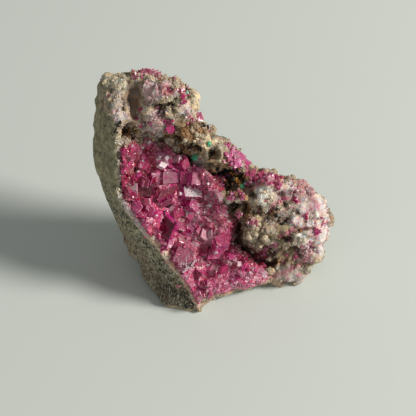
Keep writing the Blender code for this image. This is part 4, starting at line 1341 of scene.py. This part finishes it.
pinkSpots = {  # little clusters of pink rhombs that stand out over the rock
    "grains": 16, "sizes": (0.22, 0.55), "thick": 0.5, "steepest": 0.1,
    "places": (  # u, v, breadth
        (-4.6, 21.1, 1.1), (-5.5, 21.3, 0.6), (-1.7, 17.3, 1.0), (-2.9, 16.0, 0.9), (-3.5, 16.6, 0.7),
        (-7.2, 15.4, 1.4), (-6.4, 14.6, 1.0), (-7.8, 16.0, 0.8), (-11.4, 25.6, 0.9), (-10.1, 25.6, 0.9),
        (-12.8, 25.4, 0.7), (-7.0, 24.3, 0.5), (-6.1, 23.4, 0.6), (-9.1, 18.2, 0.6), (-4.6, 19.0, 0.7),
        (-12.3, 18.0, 0.8), (-11.0, 19.0, 0.6), (-13.0, 16.4, 0.6), (-10.6, 15.4, 0.7), (-12.2, 14.9, 0.6),
        (13.3, 4.6, 1.1), (18.6, -1.7, 0.9), (20.7, -4.4, 1.1), (22.0, -3.2, 0.8), (21.7, -1.9, 0.6),
        (16.7, 1.6, 0.9), (14.3, 1.8, 0.5), (8.7, -2.7, 1.0), (9.5, -3.4, 0.8), (8.0, -2.7, 0.7),
        (5.5, -1.3, 1.0), (4.7, 2.1, 1.4), (6.3, 2.3, 1.1), (11.8, 4.9, 1.0), (10.2, 6.1, 1.8),
        (8.5, 5.7, 1.6), (11.0, -8.0, 0.9), (11.2, -8.9, 0.8), (17.9, -7.4, 0.7), (17.1, -9.5, 0.9),
        (14.6, -10.5, 0.6), (7.4, 6.9, 1.2), (12.6, 5.8, 1.0), (22.9, -0.4, 0.7), (19.5, -6.6, 0.5),
        (16.4, -11.3, 0.6), (8.4, -7.4, 0.8), (10.4, -10.5, 0.9),
    ),
}


def makeSpots(tree, rng):
    rows = []
    for u, v, breadth in pinkSpots["places"]:
        tone, turn = rng.uniform(0.44, 0.66), randomTurns(1, rng)[0]
        for _ in range(int(pinkSpots["grains"] * breadth)):
            across, up = rng.normal(0, breadth * 0.3), rng.normal(0, breadth * 0.3)
            foot, outward = surfaceUnder(tree, u + across, v + up)
            if outward.z < pinkSpots["steepest"]:
                continue  # past the edge, on the back
            size = rng.uniform(*pinkSpots["sizes"]) * min(breadth, 1.2)
            centre = foot + outward * size * rng.uniform(0, pinkSpots["thick"])
            own = turn if rng.random() < 0.5 else randomTurns(1, rng)[0]
            rows.append((centre, own @ rhombShape * size, tone + rng.normal(0, 0.1)))
    centres, shapes, tones = zip(*rows)
    template = rhombTemplate(0.07)
    mesh = joinedCopies("spotCrystals", template, centres, shapes)
    crystalLayers(mesh, template, tone=np.clip(tones, 0.1, 0.95), blush=rng.uniform(0.1, 0.9, len(tones)),
                  dust=rng.uniform(0, 0.3, len(tones)))
    return mesh


darkGrains = {  # black and rust grains on the rock, then the mixed grains that fill the cavity
    "balls": 4, "black": (0.022, 0.018, 0.015),
    "specks": (  # u, v, size
        (-8.9, 17.5, 0.42), (-8.0, 17.3, 0.36), (-5.7, 19.8, 0.34), (-8.6, 17.9, 0.3), (-4.2, 22.0, 0.45),
        (-16.5, 14.4, 0.6), (-15.9, 15.4, 0.45), (-1.0, 15.2, 0.45), (0.0, 14.6, 0.4), (-3.6, 11.2, 0.45),
        (-3.0, 11.6, 0.4), (15.0, -6.1, 0.6), (12.7, -1.3, 0.5), (13.5, -2.1, 0.45), (14.2, -3.0, 0.45),
        (16.3, 3.2, 0.4), (-13.7, 14.6, 0.5), (-3.4, 21.5, 0.35), (-6.4, 18.6, 0.35), (-2.4, 13.9, 0.4),
        (13.0, -0.3, 0.4), (11.4, -9.2, 0.4), (-1.4, 10.9, 0.4), (-4.9, 12.4, 0.4),
    ),
    "count": 260, "sizes": (0.25, 0.8), "middle": (3.8, 5.7), "reach": (1.7, 1.05),
    "kinds": (  # colour, where its middle lies across the cavity, how far it spreads
        ((0.85, 0.40, 0.09), 5.4, 0.9), ((0.03, 0.16, 0.14), 6.9, 0.9), ((0.36, 0.10, 0.20), 2.6, 1.2),
        ((0.02, 0.016, 0.014), 3.4, 3.2), ((0.24, 0.13, 0.07), 4.2, 3.0)),
}


def makeDarkGrains(tree, rng):
    rows = []

    def addGrain(u, v, size, tint):
        place, outward = surfaceUnder(tree, u, v)
        shape = crumbShape(size, rng)
        rows.append((place + outward * size * 0.15, shape, np.array(tint) * rng.uniform(0.7, 1.3)))

    for u, v, size in darkGrains["specks"]:
        for _ in range(darkGrains["balls"]):
            right, up = rng.normal(0, size * 0.4), rng.normal(0, size * 0.4)
            addGrain(u + right, v + up, size * rng.uniform(0.5, 1.0), darkGrains["black"])
    kinds = darkGrains["kinds"]
    for _ in range(darkGrains["count"]):
        u, v = rng.normal(darkGrains["middle"], darkGrains["reach"])
        chance = np.array([math.exp(-((u - middle) / spreads) ** 2) for _, middle, spreads in kinds])
        tint = kinds[rng.choice(len(kinds), p=chance / chance.sum())][0]
        addGrain(u, v, rng.uniform(*darkGrains["sizes"]), tint)
    return stoneGrains("darkGrains", rhombTemplate(0.08), *zip(*rows), 0.4)


studio = {
    "cameraDistance": 0.260,
    "cameraElevation": math.radians(48),
    "frameWidth": 0.07904,  # what the camera takes in at the specimen
    "sensor": 36.0,
    "floorSize": 1.6,
    "floor": {"Base Color": (0.645, 0.69, 0.655, 1), "Roughness": 0.9, "Specular IOR Level": 0.1},
    "keyDirection": (0.80, -0.12, 0.62),
    "keyDistance": 0.9,
    "key": (0.26, 8.6, (1.0, 0.965, 0.91)),  # size, power, colour
    "fillFrom": (-0.5, -0.7, 0.7),
    "fill": (0.6, 0.35, (0.9, 0.95, 1.0)),
    "ambient": {"Color": (0.94, 0.95, 0.93, 1), "Strength": 0.26},
}
lookAt = faceToWorld @ Vector((0, 0, 0))


def aimed(obj, place):
    obj.location = place
    obj.rotation_mode = "QUATERNION"
    obj.rotation_quaternion = (lookAt - place).to_track_quat("-Z", "Y")


def addLight(name, offset, size, power, colour):
    light = bpy.data.lights.new(name, "AREA")
    light.shape = "DISK"
    light.size = size
    light.energy = power
    light.color = colour
    aimed(linked(name, light), lookAt + offset)


def makeStudio():
    bm = bmesh.new()
    bmesh.ops.create_grid(bm, x_segments=1, y_segments=1, size=studio["floorSize"] / 2)
    floor = linked("floor", meshFrom("floor", bm))
    paper = startMaterial("palePaper", studio["floor"])[0]
    floor.data.materials.append(paper)

    addLight("key", Vector(studio["keyDirection"]).normalized() * studio["keyDistance"], *studio["key"])
    addLight("fill", Vector(studio["fillFrom"]), *studio["fill"])
    world = bpy.data.worlds.new("studio")
    world.use_nodes = True
    for socket, value in studio["ambient"].items():
        world.node_tree.nodes["Background"].inputs[socket].default_value = value
    bpy.context.scene.world = world

    lens = bpy.data.cameras.new("camera")
    lens.sensor_width = studio["sensor"]
    lens.lens = studio["sensor"] * studio["cameraDistance"] / studio["frameWidth"]
    lens.clip_start, lens.clip_end = 0.01, 10
    camera = linked("camera", lens)
    rise = studio["cameraElevation"]
    aimed(camera, lookAt + Vector((0, -math.cos(rise), math.sin(rise))) * studio["cameraDistance"])
    bpy.context.scene.camera = camera
    bpy.context.scene.view_settings.view_transform = "Standard"
    print("studio set")


randomSeed = 11


def main():
    # without a seed, the noise vectors follow the clock
    noise.seed_set(randomSeed)
    rng = np.random.default_rng(randomSeed)
    stone, green = makeHostStone(), makeMalachite()
    pink, sugar, pale = (makeCrystal(name) for name in crystalLooks)
    print("materials made")

    rock = makeRock()
    rockTree = treeOf(rock)
    onRock = {"hostRock": rock, **{name: makeCrumbs(name, rock, rng) for name in crumbs}}
    onRock["tanWarts"] = makeWarts(rockTree, rng)
    onRock["rindGrains"] = makeRind(rockTree, rng)
    onRock["darkGrains"] = makeDarkGrains(rockTree, rng)
    spotMesh = makeSpots(rockTree, rng)
    looseMesh = makeLooseCrystals(rock, rng)
    groups = {name: makeGroup(name, rockTree, rng) for name in rhombGroups}
    grains = [makeGrain(*row, rockTree) for row in malachite["grains"]]
    print("rock and the crystals on it shaped")

    bed = makeBed()
    bedTree = treeOf(bed)
    coats = {name: makeDruse(name, bed, (bedTree, rockTree), rng) for name in druse["kinds"]}
    large = makeLargeCrystals(rng)
    frostTrees = [treeOf(coats["mediumCrystals"]), treeOf(large["largeCrystals"])]
    frostMesh = makeFrosting(frostTrees, rng)
    onRock["fringeGrains"] = makeFringe((bedTree, rockTree), rng)
    towardLight = faceToWorld.to_3x3().inverted() @ Vector(studio["keyDirection"])
    glintTrees = [treeOf(coats["sugarCrystals"]), treeOf(onRock["fringeGrains"]), bedTree, rockTree]
    glintMesh = makeGlints(frostTrees + glintTrees, towardLight, rng)
    print("crust and its crystals grown")

    for name, mesh in onRock.items():
        finePiece(name, mesh, stone, ("host_rock",) if name == "hostRock" else ())
    finePiece("spotCrystals", spotMesh, pink)
    finePiece("crustBed", bed, sugar, ("crystal_crust",))
    for name, mesh in {**coats, **large}.items():
        finePiece(name, mesh, sugar if name in ("sugarCrystals", "fineSugar") else pink)
    finePiece("glintCrystals", glintMesh, pale)
    finePiece("looseCrystals", looseMesh, sugar)
    finePiece("frosting", frostMesh, sugar)
    finePiece("paleLump", makePaleLump(), pale, ("pale_crystals",))
    for name, group in groups.items():
        finePiece(name, group, pink, (rhombGroups[name]["stands"],))
    for number, grain in enumerate(grains, 1):
        finePiece(f"malachiteGrain{number}", grain, green, (f"malachite_grain_{number}",))
    makeStudio()


main()
